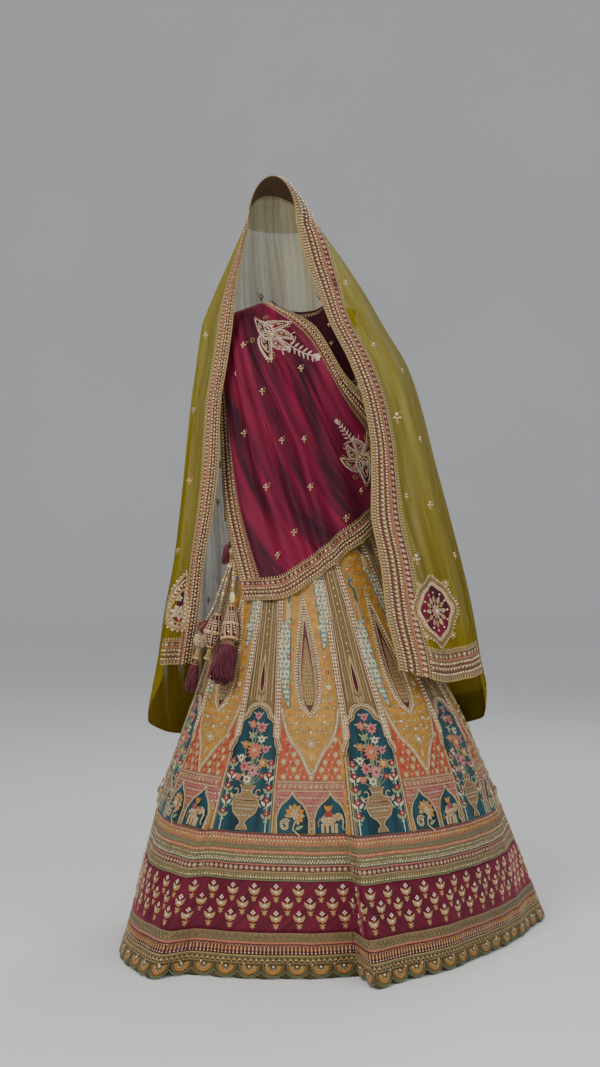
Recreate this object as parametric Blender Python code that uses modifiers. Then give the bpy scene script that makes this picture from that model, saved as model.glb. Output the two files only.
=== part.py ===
"""Lehenga choli with a velvet dupatta and a net veil, hollow as it is worn.

Metres, +Z up, the front towards -Y. The origin is the middle of the skirt's waist, where the
wearer holds the set up. Heights in the tables are above the hem. An azimuth is in degrees, 0 at
the front and growing towards +X, the wearer's left.
"""
import math

import bmesh
import bpy
from mathutils import Matrix, Vector

WAIST_HEIGHT = 1.155
SEAM_GAP = 0.0003
CLOTH = 0.002
EMBROIDERED = 0.0025
BAND = 0.003

# Skirt bands, by their lower and upper heights
LACE_TOP = 0.050
LOWER_BORDER_TOP = 0.097
VELVET_BAND_TOP = 0.208
BEAD_BORDER_TOP = 0.310
WAISTBAND_BOTTOM = 1.120

# The skirt repeats a narrow arch gore and a wide peacock gore eight times
REPEATS = 8
REPEAT = 360.0 / REPEATS
FIRST_SEAM = 5.5
ARCH_GORE = 20.625
SCALLOPS_PER_REPEAT = 8
SCALLOP_DEPTH = 0.014
SCALLOP_STEPS = 3
ARCH_COLUMNS = (0.0, 1.875, 7.5, 13.125, ARCH_GORE)
PEACOCK_COLUMNS = (ARCH_GORE, 26.25, 31.875, 37.5, 43.125, REPEAT)
GORE_ROWS = 7
FOLD_TOP = 0.62

# Veil: where the hood turns over the head, how far it rises and leans, and the waves of its cloth
HOOD_HEIGHT = 1.75
HOOD_RISE = 0.116
HOOD_LEAN = 104.0
HOOD_FORWARD = 0.10
HOOD_SIDE_Y = -0.03
VEIL_WAVES = 2.2
VEIL_ROWS = 12
VEIL_BACK_COLUMNS = 20

# Velvet dupatta: shares of its width and length that its borders take
SIDE_BORDER = 0.12
UPPER_BORDER = 0.92
END_BORDER = 0.935
WRAP_FROM = 0.84
WRAP_START = 0.003
SHOULDER_TOP = 1.5685
SHOULDER_DROP = 0.36
NECK_SIDE = 0.085
# Half of the room between the velvet's front and back where they meet on the shoulder
RIDGE_GAP = 0.0013

MATERIALS = {
    "teal velvet": ((0.012, 0.075, 0.105), 0.75, 0.0),
    "mustard silk": ((0.60, 0.28, 0.035), 0.55, 0.1),
    "maroon velvet": ((0.13, 0.006, 0.022), 0.8, 0.0),
    "gold embroidery": ((0.42, 0.29, 0.12), 0.45, 0.5),
    "gold lace": ((0.34, 0.24, 0.07), 0.5, 0.4),
    "olive net": ((0.32, 0.28, 0.07), 0.6, 0.0),
    "maroon yarn": ((0.16, 0.012, 0.03), 0.85, 0.0),
    "gold cord": ((0.50, 0.36, 0.14), 0.4, 0.6),
    "ivory bead": ((0.72, 0.62, 0.36), 0.3, 0.1),
}


class Table:
    """A short table of sections, read between its rows by a curve that never overshoots."""

    def __init__(self, columns, rows):
        self.columns = columns.split()
        self.rows = sorted(rows)

    def __call__(self, column, where):
        """The named column's value at a place in the first column."""
        k = self.columns.index(column)
        xs = [row[0] for row in self.rows]
        ys = [row[k] for row in self.rows]
        if where <= xs[0]:
            return ys[0]
        if where >= xs[-1]:
            return ys[-1]
        i = max(n for n, x in enumerate(xs) if x <= where)
        slopes = [(ys[n + 1] - ys[n]) / (xs[n + 1] - xs[n]) for n in range(len(xs) - 1)]
        width = xs[i + 1] - xs[i]
        t = (where - xs[i]) / width
        start = self.tangent(slopes, i) * width
        end = self.tangent(slopes, i + 1) * width
        rest = 1.0 - t
        return (ys[i] * (1 + 2 * t) * rest * rest + start * t * rest * rest
                + ys[i + 1] * (3 - 2 * t) * t * t - end * t * t * rest)

    @staticmethod
    def tangent(slopes, i):
        """The curve's slope at a row, level where the values turn."""
        if i == 0 or i == len(slopes):
            return slopes[min(i, len(slopes) - 1)]
        before, after = slopes[i - 1], slopes[i]
        if before * after <= 0:
            return 0.0
        return 2 * before * after / (before + after)


SKIRT = Table("height centre_x half_width half_depth", [
    (0.00, 0.0965, 0.530, 0.530),
    (0.12, 0.088, 0.495, 0.490),
    (0.24, 0.080, 0.456, 0.455),
    (0.38, 0.072, 0.405, 0.400),
    (0.52, 0.065, 0.350, 0.340),
    (0.68, 0.048, 0.280, 0.270),
    (0.80, 0.035, 0.235, 0.220),
    (0.90, 0.022, 0.200, 0.180),
    (1.00, 0.010, 0.175, 0.145),
    (1.10, 0.003, 0.150, 0.118),
    (1.155, 0.000, 0.135, 0.105),
])

# How far the hem reaches from its centre: two deep folds in front, softer ones round the back
HEM_REACH = Table("azimuth reach", [
    (-180.0, 0.500), (-160.0, 0.540), (-140.0, 0.500), (-118.0, 0.545), (-98.0, 0.515),
    (-84.0, 0.525), (-68.0, 0.570), (-57.0, 0.609), (-41.0, 0.652), (-38.0, 0.571),
    (-20.0, 0.522), (-3.5, 0.482), (4.0, 0.466), (7.0, 0.580), (13.5, 0.537), (26.7, 0.490),
    (48.6, 0.440), (70.0, 0.445), (88.0, 0.480), (109.0, 0.561), (125.0, 0.530),
    (145.0, 0.500), (165.0, 0.545), (180.0, 0.500),
])
HEM_MEAN = 0.530

CHOLI = Table("height half_width half_depth", [
    (1.235, 0.126, 0.094),
    (1.300, 0.132, 0.100),
    (1.370, 0.145, 0.112),
    (1.400, 0.148, 0.108),
])
CHOLI_HEM = 1.235
ARMPIT = 1.400
# The choli's upper edge: neckline, shoulder, then armhole down to the side seam
CHOLI_EDGE = Table("across half_width front_height back_height", [
    (0.00, 0.000, 1.528, 1.548),
    (0.25, 0.034, 1.534, 1.551),
    (0.42, 0.058, 1.552, 1.562),
    (0.50, 0.067, 1.571, 1.571),
    (0.66, 0.112, 1.5545, 1.5545),
    (0.74, 0.138, 1.5445, 1.5445),
    (0.84, 0.129, 1.500, 1.500),
    (0.92, 0.132, 1.448, 1.448),
    (1.00, 0.148, 1.400, 1.400),
])
SHOULDER_PEAK = 1.5925
SHOULDER_SLOPE = 0.34
CHEST_ROUND = 1.6

# The room that the velvet dupatta hangs round
DRAPE = Table("height centre_x half_width half_depth", [
    (0.800, 0.035, 0.2452, 0.2302),
    (0.900, 0.022, 0.2102, 0.1902),
    (1.000, 0.010, 0.196, 0.160),
    (1.100, 0.003, 0.193, 0.142),
    (1.180, 0.000, 0.190, 0.140),
    (1.280, 0.000, 0.191, 0.142),
    (1.360, 0.000, 0.195, 0.144),
    (1.420, 0.000, 0.197, 0.138),
    (1.490, 0.000, 0.197, 0.114),
    (1.530, 0.000, 0.195, 0.088),
    (1.5515, 0.000, 0.192, 0.056),
    (1.5645, 0.000, 0.190, 0.022),
    (SHOULDER_TOP, 0.000, 0.189, 0.0003),
])

# The velvet's rays fan out from the shoulder, each through four stations
VELVET_RAYS = Table("across azimuth_0 height_0 azimuth_1 height_1 azimuth_2 height_2 azimuth_3 height_3", [
    (0.00, -77, SHOULDER_TOP, -85, 1.330, -74, 1.080, -44, 0.830),
    (0.20, -67, SHOULDER_TOP, -60, 1.345, -42, 1.085, -20, 0.836),
    (0.40, -57, SHOULDER_TOP, -42, 1.370, -16, 1.115, 2, 0.880),
    (0.60, -47, SHOULDER_TOP, -25, 1.405, 6, 1.165, 22, 0.928),
    (0.75, -39, SHOULDER_TOP, -11, 1.440, 22, 1.225, 54, 0.989),
    (0.84, -35, SHOULDER_TOP, -4, 1.465, 30, 1.270, 96, 1.040),
    (1.00, -27, SHOULDER_TOP, 8, 1.505, 38, 1.365, 100, 1.270),
])
VELVET_FOLDS = 7
VELVET_FOLD_DEPTH = Table("along depth", [
    (0.0, 0.002), (0.10, 0.004), (0.20, 0.006), (0.5, 0.009), (0.93, 0.007), (1.0, 0.006),
])

# Veil: its two front edges, its widest places at each side and its back
VEIL = Table("height left_edge_x left_edge_y left_side right_side right_edge_x right_edge_y back fold", [
    (0.40, -0.285, -0.060, -0.350, 0.440, 0.245, -0.285, 0.430, 0.012),
    (0.53, -0.280, -0.065, -0.373, 0.462, 0.240, -0.280, 0.3514, 0.012),
    (0.60, -0.275, -0.070, -0.362, 0.466, 0.238, -0.280, 0.3159, 0.012),
    (0.67, -0.268, -0.070, -0.350, 0.452, 0.235, -0.275, 0.2859, 0.011),
    (0.80, -0.248, -0.085, -0.333, 0.4285, 0.206, -0.262, 0.2414, 0.010),
    (0.92, -0.236, -0.100, -0.312, 0.400, 0.192, -0.245, 0.235, 0.009),
    (1.05, -0.212, -0.110, -0.298, 0.365, 0.170, -0.220, 0.205, 0.008),
    (1.18, -0.198, -0.115, -0.285, 0.330, 0.171, -0.205, 0.190, 0.007),
    (1.30, -0.1945, -0.115, -0.272, 0.300, 0.155, -0.190, 0.185, 0.006),
    (1.40, -0.179, -0.110, -0.259, 0.267, 0.121, -0.175, 0.178, 0.005),
    (1.50, -0.165, -0.100, -0.245, 0.209, 0.0725, -0.150, 0.158, 0.004),
    (1.58, -0.158, -0.090, -0.214, 0.163, 0.0433, -0.120, 0.130, 0.003),
    (1.65, -0.146, -0.078, -0.182, 0.117, 0.017, -0.105, 0.112, 0.002),
    (HOOD_HEIGHT, -0.127, -0.060, -0.136, 0.045, -0.008, -0.090, 0.090, 0.001),
])
VEIL_END = Table("across height", [
    (-1.0, 0.668), (-0.2, 0.662), (0.0, 0.535), (0.25, 0.470), (1.0, 0.420), (1.7, 0.490),
    (2.0, 0.560), (2.1, 0.660), (2.6, 0.640), (3.0, 0.672),
])
# Each part of the veil runs from one named or numbered side to another
VEIL_PARTS = {
    "veil_left_border": (-1.0, "left"),
    "veil_left_fall": ("left", 0.0),
    "veil_back": (0.0, 2.0),
    "veil_right_fall": (2.0, "right"),
    "veil_right_border": ("right", 3.0),
}
# The share of each front quarter that is net, before its border starts
VEIL_NET = Table("height left right", [
    (0.60, 0.76, 0.79), (1.50, 0.74, 0.76), (1.65, 0.66, 0.55), (HOOD_HEIGHT, 0.60, 0.25),
])

# Latkans: the cord from the waist, the knot where its strings part, and what hangs on them
CORD = 0.004
STRING = 0.003
CORD_STEP = 2.6
KNOT = 0.018
GATHER = Vector((-0.165, -0.072, 0.956 - WAIST_HEIGHT))
# The cord's places beside the skirt: azimuth, height and how far outside it
WAIST_CORD = ((-51.0, 1.142, 0.0026), (-54.0, 1.118, 0.0040), (-58.0, 1.080, 0.0070),
              (-63.0, 1.020, 0.0090))
KNOT_PROFILE = ((0.0, 0.0), (0.005, 0.0), (0.009, 0.5), (0.008, 1.0), (0.0, 1.0))
BALL = ((0.0, 0.0), (0.009, 0.1), (0.0165, 0.32), (0.0165, 0.68), (0.009, 0.9), (0.0, 1.0))
BUD = ((0.0, 0.0), (0.006, 0.02), (0.014, 0.22), (0.023, 0.55), (0.017, 0.78), (0.005, 0.98), (0.0, 1.0))
CAP = ((0.0, 0.0), (0.005, 0.03), (0.006, 0.45), (0.011, 0.9), (0.0, 1.0))
BEAD = ((0.0, 0.0), (0.004, 0.1), (0.007, 0.5), (0.004, 0.9), (0.0, 1.0))
CONE = ((0.0, 0.0), (0.005, 0.02), (0.012, 0.3), (0.021, 0.8), (0.020, 0.98), (0.0, 1.0))


def hung(x, y, height):
    """A point given by its height above the hem."""
    return Vector((x, y, height - WAIST_HEIGHT))


STRINGS = {
    "a": (Vector((-0.0045, -0.003, 0.0)), hung(-0.190, -0.085, 0.872), hung(-0.214, -0.092, 0.806),
          hung(-0.2290, -0.096, 0.7795)),
    "b": (Vector((0.0, -0.0050, 0.0)), hung(-0.181, -0.105, 0.872), hung(-0.1985, -0.128, 0.800)),
    "c": (Vector((0.0045, -0.001, 0.0)), hung(-0.162, -0.112, 0.905), hung(-0.163, -0.150, 0.853)),
}
TURNED_PIECES = (
    ("latkan_a_ball", BALL, hung(-0.2293, -0.096, 0.779), hung(-0.2375, -0.098, 0.747), "maroon yarn"),
    ("latkan_a_bead_ball", BALL, hung(-0.2376, -0.098, 0.7465), hung(-0.2475, -0.100, 0.7135), "gold cord"),
    ("latkan_a_cap", CAP, hung(-0.2476, -0.100, 0.713), hung(-0.2535, -0.100, 0.682), "gold cord"),
    ("latkan_b_bud", BUD, hung(-0.1986, -0.1283, 0.7995), hung(-0.2190, -0.136, 0.712), "maroon velvet"),
    ("latkan_b_bell", CAP, hung(-0.2191, -0.136, 0.7115), hung(-0.2240, -0.137, 0.684), "gold cord"),
    ("latkan_c_bead", BEAD, hung(-0.1631, -0.1503, 0.8525), hung(-0.1635, -0.152, 0.822), "ivory bead"),
    ("latkan_c_cone", CONE, hung(-0.1637, -0.1525, 0.8215), hung(-0.1700, -0.187, 0.735), "maroon velvet"),
)
TASSELS = (
    ("latkan_a_tassel", hung(-0.2536, -0.100, 0.6815), hung(-0.2740, -0.102, 0.594), 0.018, 0.010, 1.7, 8),
    ("latkan_c_pompon", hung(-0.1701, -0.1873, 0.7345), hung(-0.1930, -0.240, 0.630),
     0.020, 0.024, 1.45, 12),
    ("latkan_d_tassel", hung(-0.1749, -0.070, 0.9740), hung(-0.1890, -0.072, 0.908), 0.016, 0.006, 1.8, 6),
)


def make_material(name):
    """A Principled material with one of the named finishes."""
    colour, roughness, metallic = MATERIALS[name]
    material = bpy.data.materials.get(name) or bpy.data.materials.new(name)
    material.use_nodes = True
    shader = material.node_tree.nodes["Principled BSDF"]
    shader.inputs["Base Color"].default_value = (*colour, 1.0)
    shader.inputs["Roughness"].default_value = roughness
    shader.inputs["Metallic"].default_value = metallic
    material.diffuse_color = (*colour, 1.0)
    return material


def add_object(collection, name, bm, material):
    """Turn a bmesh into a named object in the garment's collection."""
    bmesh.ops.recalc_face_normals(bm, faces=bm.faces)
    mesh = bpy.data.meshes.new(name)
    bm.to_mesh(mesh)
    bm.free()
    mesh.materials.append(make_material(material))
    made = bpy.data.objects.new(name, mesh)
    collection.objects.link(made)
    return made


def add_wall(collection, name, outer, inner, material, closed=False):
    """A closed wall between two grids of points, listed row by row; closed joins the columns' ends."""
    outer, inner = seamed(outer, closed), seamed(inner, closed)
    bm = bmesh.new()
    skins = [[[bm.verts.new(p) for p in row] for row in grid] for grid in (outer, inner)]
    rows, columns = len(outer), len(outer[0])
    spans = columns if closed else columns - 1

    def face(*corners):
        bm.faces.new(corners[:3])
        bm.faces.new((corners[0], corners[2], corners[3]))

    for skin in skins:
        for r in range(rows - 1):
            for c in range(spans):
                d = (c + 1) % columns
                face(skin[r][c], skin[r][d], skin[r + 1][d], skin[r + 1][c])
    out, into = skins
    for r in (0, rows - 1):
        for c in range(spans):
            d = (c + 1) % columns
            face(out[r][c], out[r][d], into[r][d], into[r][c])
    if not closed:
        for c in (0, columns - 1):
            for r in range(rows - 1):
                face(out[r][c], out[r + 1][c], into[r + 1][c], into[r][c])
    return add_object(collection, name, bm, material)


def add_sheet(collection, name, point, us, vs, material, side=1):
    """A cloth wall inside the surface point(u, v). Side is -1 where u crossed with v points inward."""
    outer, inner = [], []
    for v in vs:
        outer.append([point(u, v) for u in us])
        inner.append([p - normal(point, u, v) * CLOTH * side for u, p in zip(us, outer[-1])])
    return add_wall(collection, name, outer, inner, material)


def seamed(grid, closed):
    """The grid with its edges drawn in by half of the gap at a seam."""
    def drawn(edge, beside):
        return edge + (beside - edge).normalized() * SEAM_GAP / 2

    rows = [list(row) for row in grid]
    if not closed:
        for row in rows:
            row[0], row[-1] = drawn(row[0], row[1]), drawn(row[-1], row[-2])
    low = [drawn(edge, beside) for edge, beside in zip(rows[0], rows[1])]
    high = [drawn(edge, beside) for edge, beside in zip(rows[-1], rows[-2])]
    return [low, *rows[1:-1], high]


def normal(point, u, v, step=0.002):
    """The surface's unit normal at u and v, from its neighbours on each side."""
    across = point(u + step, v) - point(u - step, v)
    along = point(u, v + step) - point(u, v - step)
    return across.cross(along).normalized()


def spread(start, end, count):
    """Evenly spaced values from start to end, both included."""
    return [start + (end - start) * n / count for n in range(count + 1)]


def between(values, low, high):
    """Those of the values that lie from low to high, both included."""
    return [value for value in values if low - 1e-6 < value < high + 1e-6]


def ease(t):
    """A smooth rise from 0 to 1."""
    t = min(max(t, 0.0), 1.0)
    return t * t * (3 - 2 * t)


def wrapped(azimuth):
    """An azimuth brought to between -180 and 180 degrees."""
    return (azimuth + 180.0) % 360.0 - 180.0


def skirt_smooth(azimuth, height):
    """The skirt's outer surface: flared sections, with folds that deepen towards the hem."""
    a = math.radians(azimuth)
    wide, deep = SKIRT("half_width", height), SKIRT("half_depth", height)
    base = 1.0 / math.hypot(math.sin(a) / wide, math.cos(a) / deep)
    grow = max(0.0, 1.0 - height / FOLD_TOP) ** 1.5
    reach = base * (1.0 + grow * (HEM_REACH("reach", wrapped(azimuth)) / HEM_MEAN - 1.0))
    return Vector((SKIRT("centre_x", height) + reach * math.sin(a), -reach * math.cos(a),
                   height - WAIST_HEIGHT))


def skirt_columns():
    """The azimuths of all the skirt's grid columns, once round."""
    offsets = ARCH_COLUMNS[:-1] + PEACOCK_COLUMNS[:-1]
    return [FIRST_SEAM + k * REPEAT + offset for k in range(REPEATS) for offset in offsets]


def skirt_point(azimuth, height, depth=0.0):
    """A point at a depth inside the skirt's surface, at one of its columns."""
    normal_out = normal(lambda u, v: skirt_smooth(u * 90.0, v), azimuth / 90.0, height)
    return skirt_smooth(azimuth, height) - normal_out * depth


def skirt_between(azimuth, height, depth=0.0):
    """The same at any azimuth, straight between the two nearest columns."""
    offsets = ARCH_COLUMNS + PEACOCK_COLUMNS[1:]
    turns, offset = divmod(azimuth - FIRST_SEAM + 1e-6, REPEAT)
    after = next(n for n, edge in enumerate(offsets) if edge > offset)
    low, high = offsets[after - 1], offsets[after]
    start = FIRST_SEAM + turns * REPEAT
    share = (offset - low) / (high - low)
    return skirt_point(start + low, height, depth).lerp(skirt_point(start + high, height, depth), share)


def add_gores(collection):
    """The sixteen gores: an arch gore and a peacock gore in each repeat."""
    heights = spread(BEAD_BORDER_TOP, WAISTBAND_BOTTOM, GORE_ROWS)
    for k in range(REPEATS):
        for kind, offsets, material in (("arch_gore", ARCH_COLUMNS, "teal velvet"),
                                        ("peacock_gore", PEACOCK_COLUMNS, "mustard silk")):
            outer, inner = [], []
            for height in heights:
                row = [FIRST_SEAM + k * REPEAT + offset for offset in offsets]
                outer.append([skirt_point(a, height) for a in row])
                inner.append([skirt_point(a, height, EMBROIDERED) for a in row])
            add_wall(collection, f"{kind}_{k + 1}", outer, inner, material)


def add_skirt_bands(collection):
    """The joined bands under the gores, and the waistband on top of them."""
    columns = skirt_columns()
    bands = (("lower_border", LACE_TOP, LOWER_BORDER_TOP, EMBROIDERED, "gold embroidery"),
             ("velvet_band", LOWER_BORDER_TOP, VELVET_BAND_TOP, EMBROIDERED, "maroon velvet"),
             ("bead_border", VELVET_BAND_TOP, BEAD_BORDER_TOP, EMBROIDERED, "gold embroidery"),
             ("waistband", WAISTBAND_BOTTOM, WAIST_HEIGHT, BAND, "maroon velvet"))
    for name, low, high, wall, material in bands:
        outer = [[skirt_point(a, h) for a in columns] for h in (low, high)]
        inner = [[skirt_point(a, h, wall) for a in columns] for h in (low, high)]
        add_wall(collection, name, outer, inner, material, closed=True)


def add_hem_lace(collection):
    """The scalloped lace at the hem."""
    count = REPEATS * SCALLOPS_PER_REPEAT * SCALLOP_STEPS
    step = 360.0 / count

    def edge(n):
        share = (n % SCALLOP_STEPS) / SCALLOP_STEPS
        return SCALLOP_DEPTH * (1.0 - math.sin(math.pi * share))

    rows = []
    for depth in (0.0, CLOTH):
        low = [skirt_between(FIRST_SEAM + n * step, edge(n), depth) for n in range(count)]
        high = [skirt_between(FIRST_SEAM + n * step, LACE_TOP, depth) for n in range(count)]
        rows.append([low, high])
    add_wall(collection, "hem_lace", rows[0], rows[1], "gold lace", closed=True)


def choli_point(across, up, side, depth):
    """The choli's surface: side -1 is the front and 1 the back, across -1 to 1, up 0 to 1."""
    share = abs(across)
    top = CHOLI_EDGE("front_height" if side < 0 else "back_height", share)
    height = CHOLI_HEM + (top - CHOLI_HEM) * up
    body = min(height, ARMPIT)
    wide = CHOLI("half_width", body) - depth
    edge_x = min(CHOLI_EDGE("half_width", share), wide)
    lift = ease((height - 1.30) / 0.20)
    x = wide * math.sin(share * math.pi / 2) * (1 - lift) + edge_x * lift
    x = min(x, wide)
    deep = (CHOLI("half_depth", body) - depth) * math.sqrt(max(0.0, 1.0 - (x / wide) ** 2))
    if height > ARMPIT:
        ridge = SHOULDER_PEAK - SHOULDER_SLOPE * x - depth
        rise = min(1.0, (height - ARMPIT) / (ridge - ARMPIT))
        deep *= math.sqrt(max(0.0, 1.0 - rise ** CHEST_ROUND))
    return Vector((math.copysign(x, across), side * (deep + SEAM_GAP), height - WAIST_HEIGHT))


def add_choli(collection):
    """The sleeveless choli's front and back, which meet at the sides and the shoulders."""
    for name, side in (("choli_front", -1), ("choli_back", 1)):
        grids = []
        for depth in (0.0, CLOTH):
            grids.append([[choli_point(a, u, side, depth) for a in spread(-1.0, 1.0, 16)]
                          for u in spread(0.0, 1.0, 8)])
        add_wall(collection, name, grids[0], grids[1], "maroon velvet")


def drape_point(azimuth, height, lift=0.0):
    """The room that the velvet hangs round, moved out by lift."""
    a = math.radians(azimuth)
    x = DRAPE("centre_x", height) + (DRAPE("half_width", height) + lift) * math.sin(a)
    drop = SHOULDER_DROP * max(0.0, abs(x) - NECK_SIDE) * ease((height - 1.40) / 0.12)
    apart = math.copysign(RIDGE_GAP, math.cos(a)) * ease(1.0 - (SHOULDER_TOP - height) / 0.02)
    y = -(DRAPE("half_depth", height) + lift) * math.cos(a) - apart
    return Vector((x, y, height - drop - WAIST_HEIGHT))


def velvet_fold(across, along):
    """How far the velvet's folds stand out, about its mean surface."""
    uneven = across + 0.018 * math.sin(11.0 * across + 1.0)
    wave = math.sin(2 * math.pi * VELVET_FOLDS * uneven + 0.9 * along)
    return VELVET_FOLD_DEPTH("depth", along) * wave


def velvet_place(across, along):
    """The azimuth and height of a point of the front stretch, along its ray."""
    values = []
    for kind in ("azimuth", "height"):
        stations = [(n / 3, VELVET_RAYS(f"{kind}_{n}", across)) for n in range(4)]
        values.append(Table("along value", stations)("value", along))
    return values


def velvet_front_point(across, along):
    """The stretch that fans from the shoulder across the front."""
    azimuth, height = velvet_place(across, along)
    near_top = ease((SHOULDER_TOP - height) / 0.02)
    return drape_point(azimuth, height, velvet_fold(across, along) * near_top)


def velvet_wrap_point(across, along):
    """Under the wearer's left arm, from the front stretch round to the back."""
    azimuth, height = velvet_place(across, END_BORDER)
    share = (across - WRAP_FROM) / (1.0 - WRAP_FROM)
    azimuth += (172.0 - azimuth) * along
    height += (1.10 + 0.11 * share - height) * ease(along)
    return drape_point(azimuth, height, velvet_fold(across, END_BORDER) * (1.0 - along))


def velvet_back_point(across, along):
    """Over the shoulder and down the back."""
    start = -180.0 - VELVET_RAYS("azimuth_0", across)
    end = -104.0 - 62.0 * across
    height = SHOULDER_TOP - (SHOULDER_TOP - 1.02) * max(along, 0.0) ** 1.3
    azimuth = start + (end - start) * ease(along)
    near_top = ease((SHOULDER_TOP - height) / 0.02)
    return drape_point(azimuth, height, velvet_fold(across, along * 0.6) * near_top)


def add_velvet_dupatta(collection):
    """The velvet dupatta: front, its three borders, the wrap under the arm and the back."""
    columns = (spread(0.0, SIDE_BORDER, 3) + spread(SIDE_BORDER, WRAP_FROM, 25)[1:]
               + spread(WRAP_FROM, UPPER_BORDER, 3)[1:] + spread(UPPER_BORDER, 1.0, 2)[1:])
    rows = spread(0.0, END_BORDER, 9)
    stretches = (("velvet_front", SIDE_BORDER, UPPER_BORDER, rows, "maroon velvet"),
                 ("velvet_side_border", 0.0, SIDE_BORDER, rows, "gold embroidery"),
                 ("velvet_upper_border", UPPER_BORDER, 1.0, rows, "gold embroidery"),
                 ("velvet_end_border", 0.0, WRAP_FROM, (END_BORDER, 1.0), "gold embroidery"))
    for name, start, end, downs, material in stretches:
        add_sheet(collection, name, velvet_front_point, between(columns, start, end), downs,
                  material, side=-1)
    add_sheet(collection, "velvet_wrap", velvet_wrap_point, between(columns, WRAP_FROM, 1.0),
              spread(WRAP_START, 1.0, 6), "maroon velvet", side=-1)
    add_sheet(collection, "velvet_back", velvet_back_point, spread(0.0, 1.0, 14),
              spread(0.0, 1.0, 8), "maroon velvet")


def veil_point(across, height):
    """The veil below the head. Across runs -1 to 0 from its left edge, on to 2 round the back, to 3."""
    left, right = VEIL("left_side", height), VEIL("right_side", height)
    side_y = HOOD_SIDE_Y * ease((height - 1.50) / (HOOD_HEIGHT - 1.50))
    if across < 0:
        a = -across * math.pi / 2
        x = left + (VEIL("left_edge_x", height) - left) * (1 - math.cos(a))
        y = side_y + (VEIL("left_edge_y", height) - side_y) * math.sin(a)
        out = Vector((-math.cos(a), -math.sin(a), 0.0))
    elif across < 2:
        a = across * math.pi / 2
        half = (right - left) / 2
        x = left + half * (1 - math.cos(a))
        y = side_y + (VEIL("back", height) - side_y) * math.sin(a)
        out = Vector((-math.cos(a), math.sin(a), 0.0))
    else:
        a = (across - 2) * math.pi / 2
        x = right + (VEIL("right_edge_x", height) - right) * (1 - math.cos(a))
        y = side_y + (VEIL("right_edge_y", height) - side_y) * math.sin(a)
        out = Vector((math.cos(a), -math.sin(a), 0.0))
    wave = math.sin(2 * math.pi * VEIL_WAVES * across + 0.8 * math.sin(3.0 * height))
    return Vector((x, y, height - WAIST_HEIGHT)) + out * VEIL("fold", height) * wave


def veil_sheet_point(part, share, down):
    """A part of the veil, by its share from its low to its high side and of its length."""
    start, end = VEIL_PARTS[part]

    def across(height):
        left, right = -VEIL_NET("left", height), 2.0 + VEIL_NET("right", height)
        low, high = ({"left": left, "right": right}.get(side, side) for side in (start, end))
        return low + (high - low) * share

    height = HOOD_HEIGHT
    for _ in range(3):
        bottom = VEIL_END("height", across(height))
        height = HOOD_HEIGHT + (bottom - HOOD_HEIGHT) * down
    return veil_point(across(height), height)


def hood_point(across, up, depth=0.0):
    """The hood: arches from side to side that turn up from the back, over the crown, to the brow."""
    a, lean = math.radians(across * 90.0), math.radians(up * HOOD_LEAN)
    inward = Vector((depth, 0.0, 0.0))
    left, right = veil_point(-up, HOOD_HEIGHT) + inward, veil_point(2.0 + up, HOOD_HEIGHT) - inward
    back = VEIL("back", HOOD_HEIGHT) - HOOD_SIDE_Y
    reach = ((back if math.cos(lean) > 0 else HOOD_FORWARD) - depth) * math.cos(lean)
    rise = (HOOD_RISE - depth) * math.sin(lean)
    return left.lerp(right, (1 - math.cos(a)) / 2) + Vector((0.0, reach, rise)) * math.sin(a)


def brow_place(across, share):
    """How far up the hood: share 0 at the back, 1 where the brow's border starts, 2 at its edge."""
    left, right = VEIL_NET("left", HOOD_HEIGHT), VEIL_NET("right", HOOD_HEIGHT)
    start = left + (right - left) * ease(across / 2)
    return start * min(share, 1.0) + (1.0 - start) * max(share - 1.0, 0.0)


def add_veil(collection):
    """The net veil: crown, back, two falls and the borders of its front edge."""
    grids = (("veil_left_border", 2), ("veil_left_fall", 6), ("veil_back", VEIL_BACK_COLUMNS),
             ("veil_right_fall", 8), ("veil_right_border", 2))
    for name, count in grids:
        material = "gold embroidery" if "border" in name else "olive net"
        add_sheet(collection, name, lambda u, v: veil_sheet_point(name, u, v),
                  spread(0.0, 1.0, count), spread(0.0, 1.0, VEIL_ROWS), material)
    turns = spread(0.0, 2.0, VEIL_BACK_COLUMNS)
    for name, low, high, count, material in (("veil_crown", 0.0, 1.0, 6, "olive net"),
                                             ("veil_brow_border", 1.0, 2.0, 2, "gold embroidery")):
        grids = [[[hood_point(u, brow_place(u, v), depth) for u in turns]
                  for v in spread(low, high, count)] for depth in (0.0, CLOTH)]
        add_wall(collection, name, grids[0], grids[1], material)


def add_cord(collection, name, route, diameter):
    """A tube along a smooth curve through the route's points."""
    points = []
    for i in range(len(route) - 1):
        before, after = route[max(i - 1, 0)], route[min(i + 2, len(route) - 1)]
        start, end = route[i], route[i + 1]
        span = (end - start).length
        ahead, behind = (end - before).normalized() * span, (after - start).normalized() * span
        count = max(2, round(span / (CORD_STEP * diameter)))
        for n in range(count):
            t = n / count
            points.append(start * (1 + 2 * t) * (1 - t) ** 2 + ahead * t * (1 - t) ** 2
                          + end * (3 - 2 * t) * t * t - behind * t * t * (1 - t))
    points.append(route[-1])
    curve = bpy.data.curves.new(name, "CURVE")
    curve.dimensions = "3D"
    curve.bevel_depth = diameter / 2
    curve.bevel_resolution = 2
    curve.use_fill_caps = True
    spline = curve.splines.new("POLY")
    spline.points.add(len(points) - 1)
    for place, point in zip(spline.points, points):
        place.co = (*point, 1.0)
    curve.materials.append(make_material("gold cord"))
    collection.objects.link(bpy.data.objects.new(name, curve))


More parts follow.
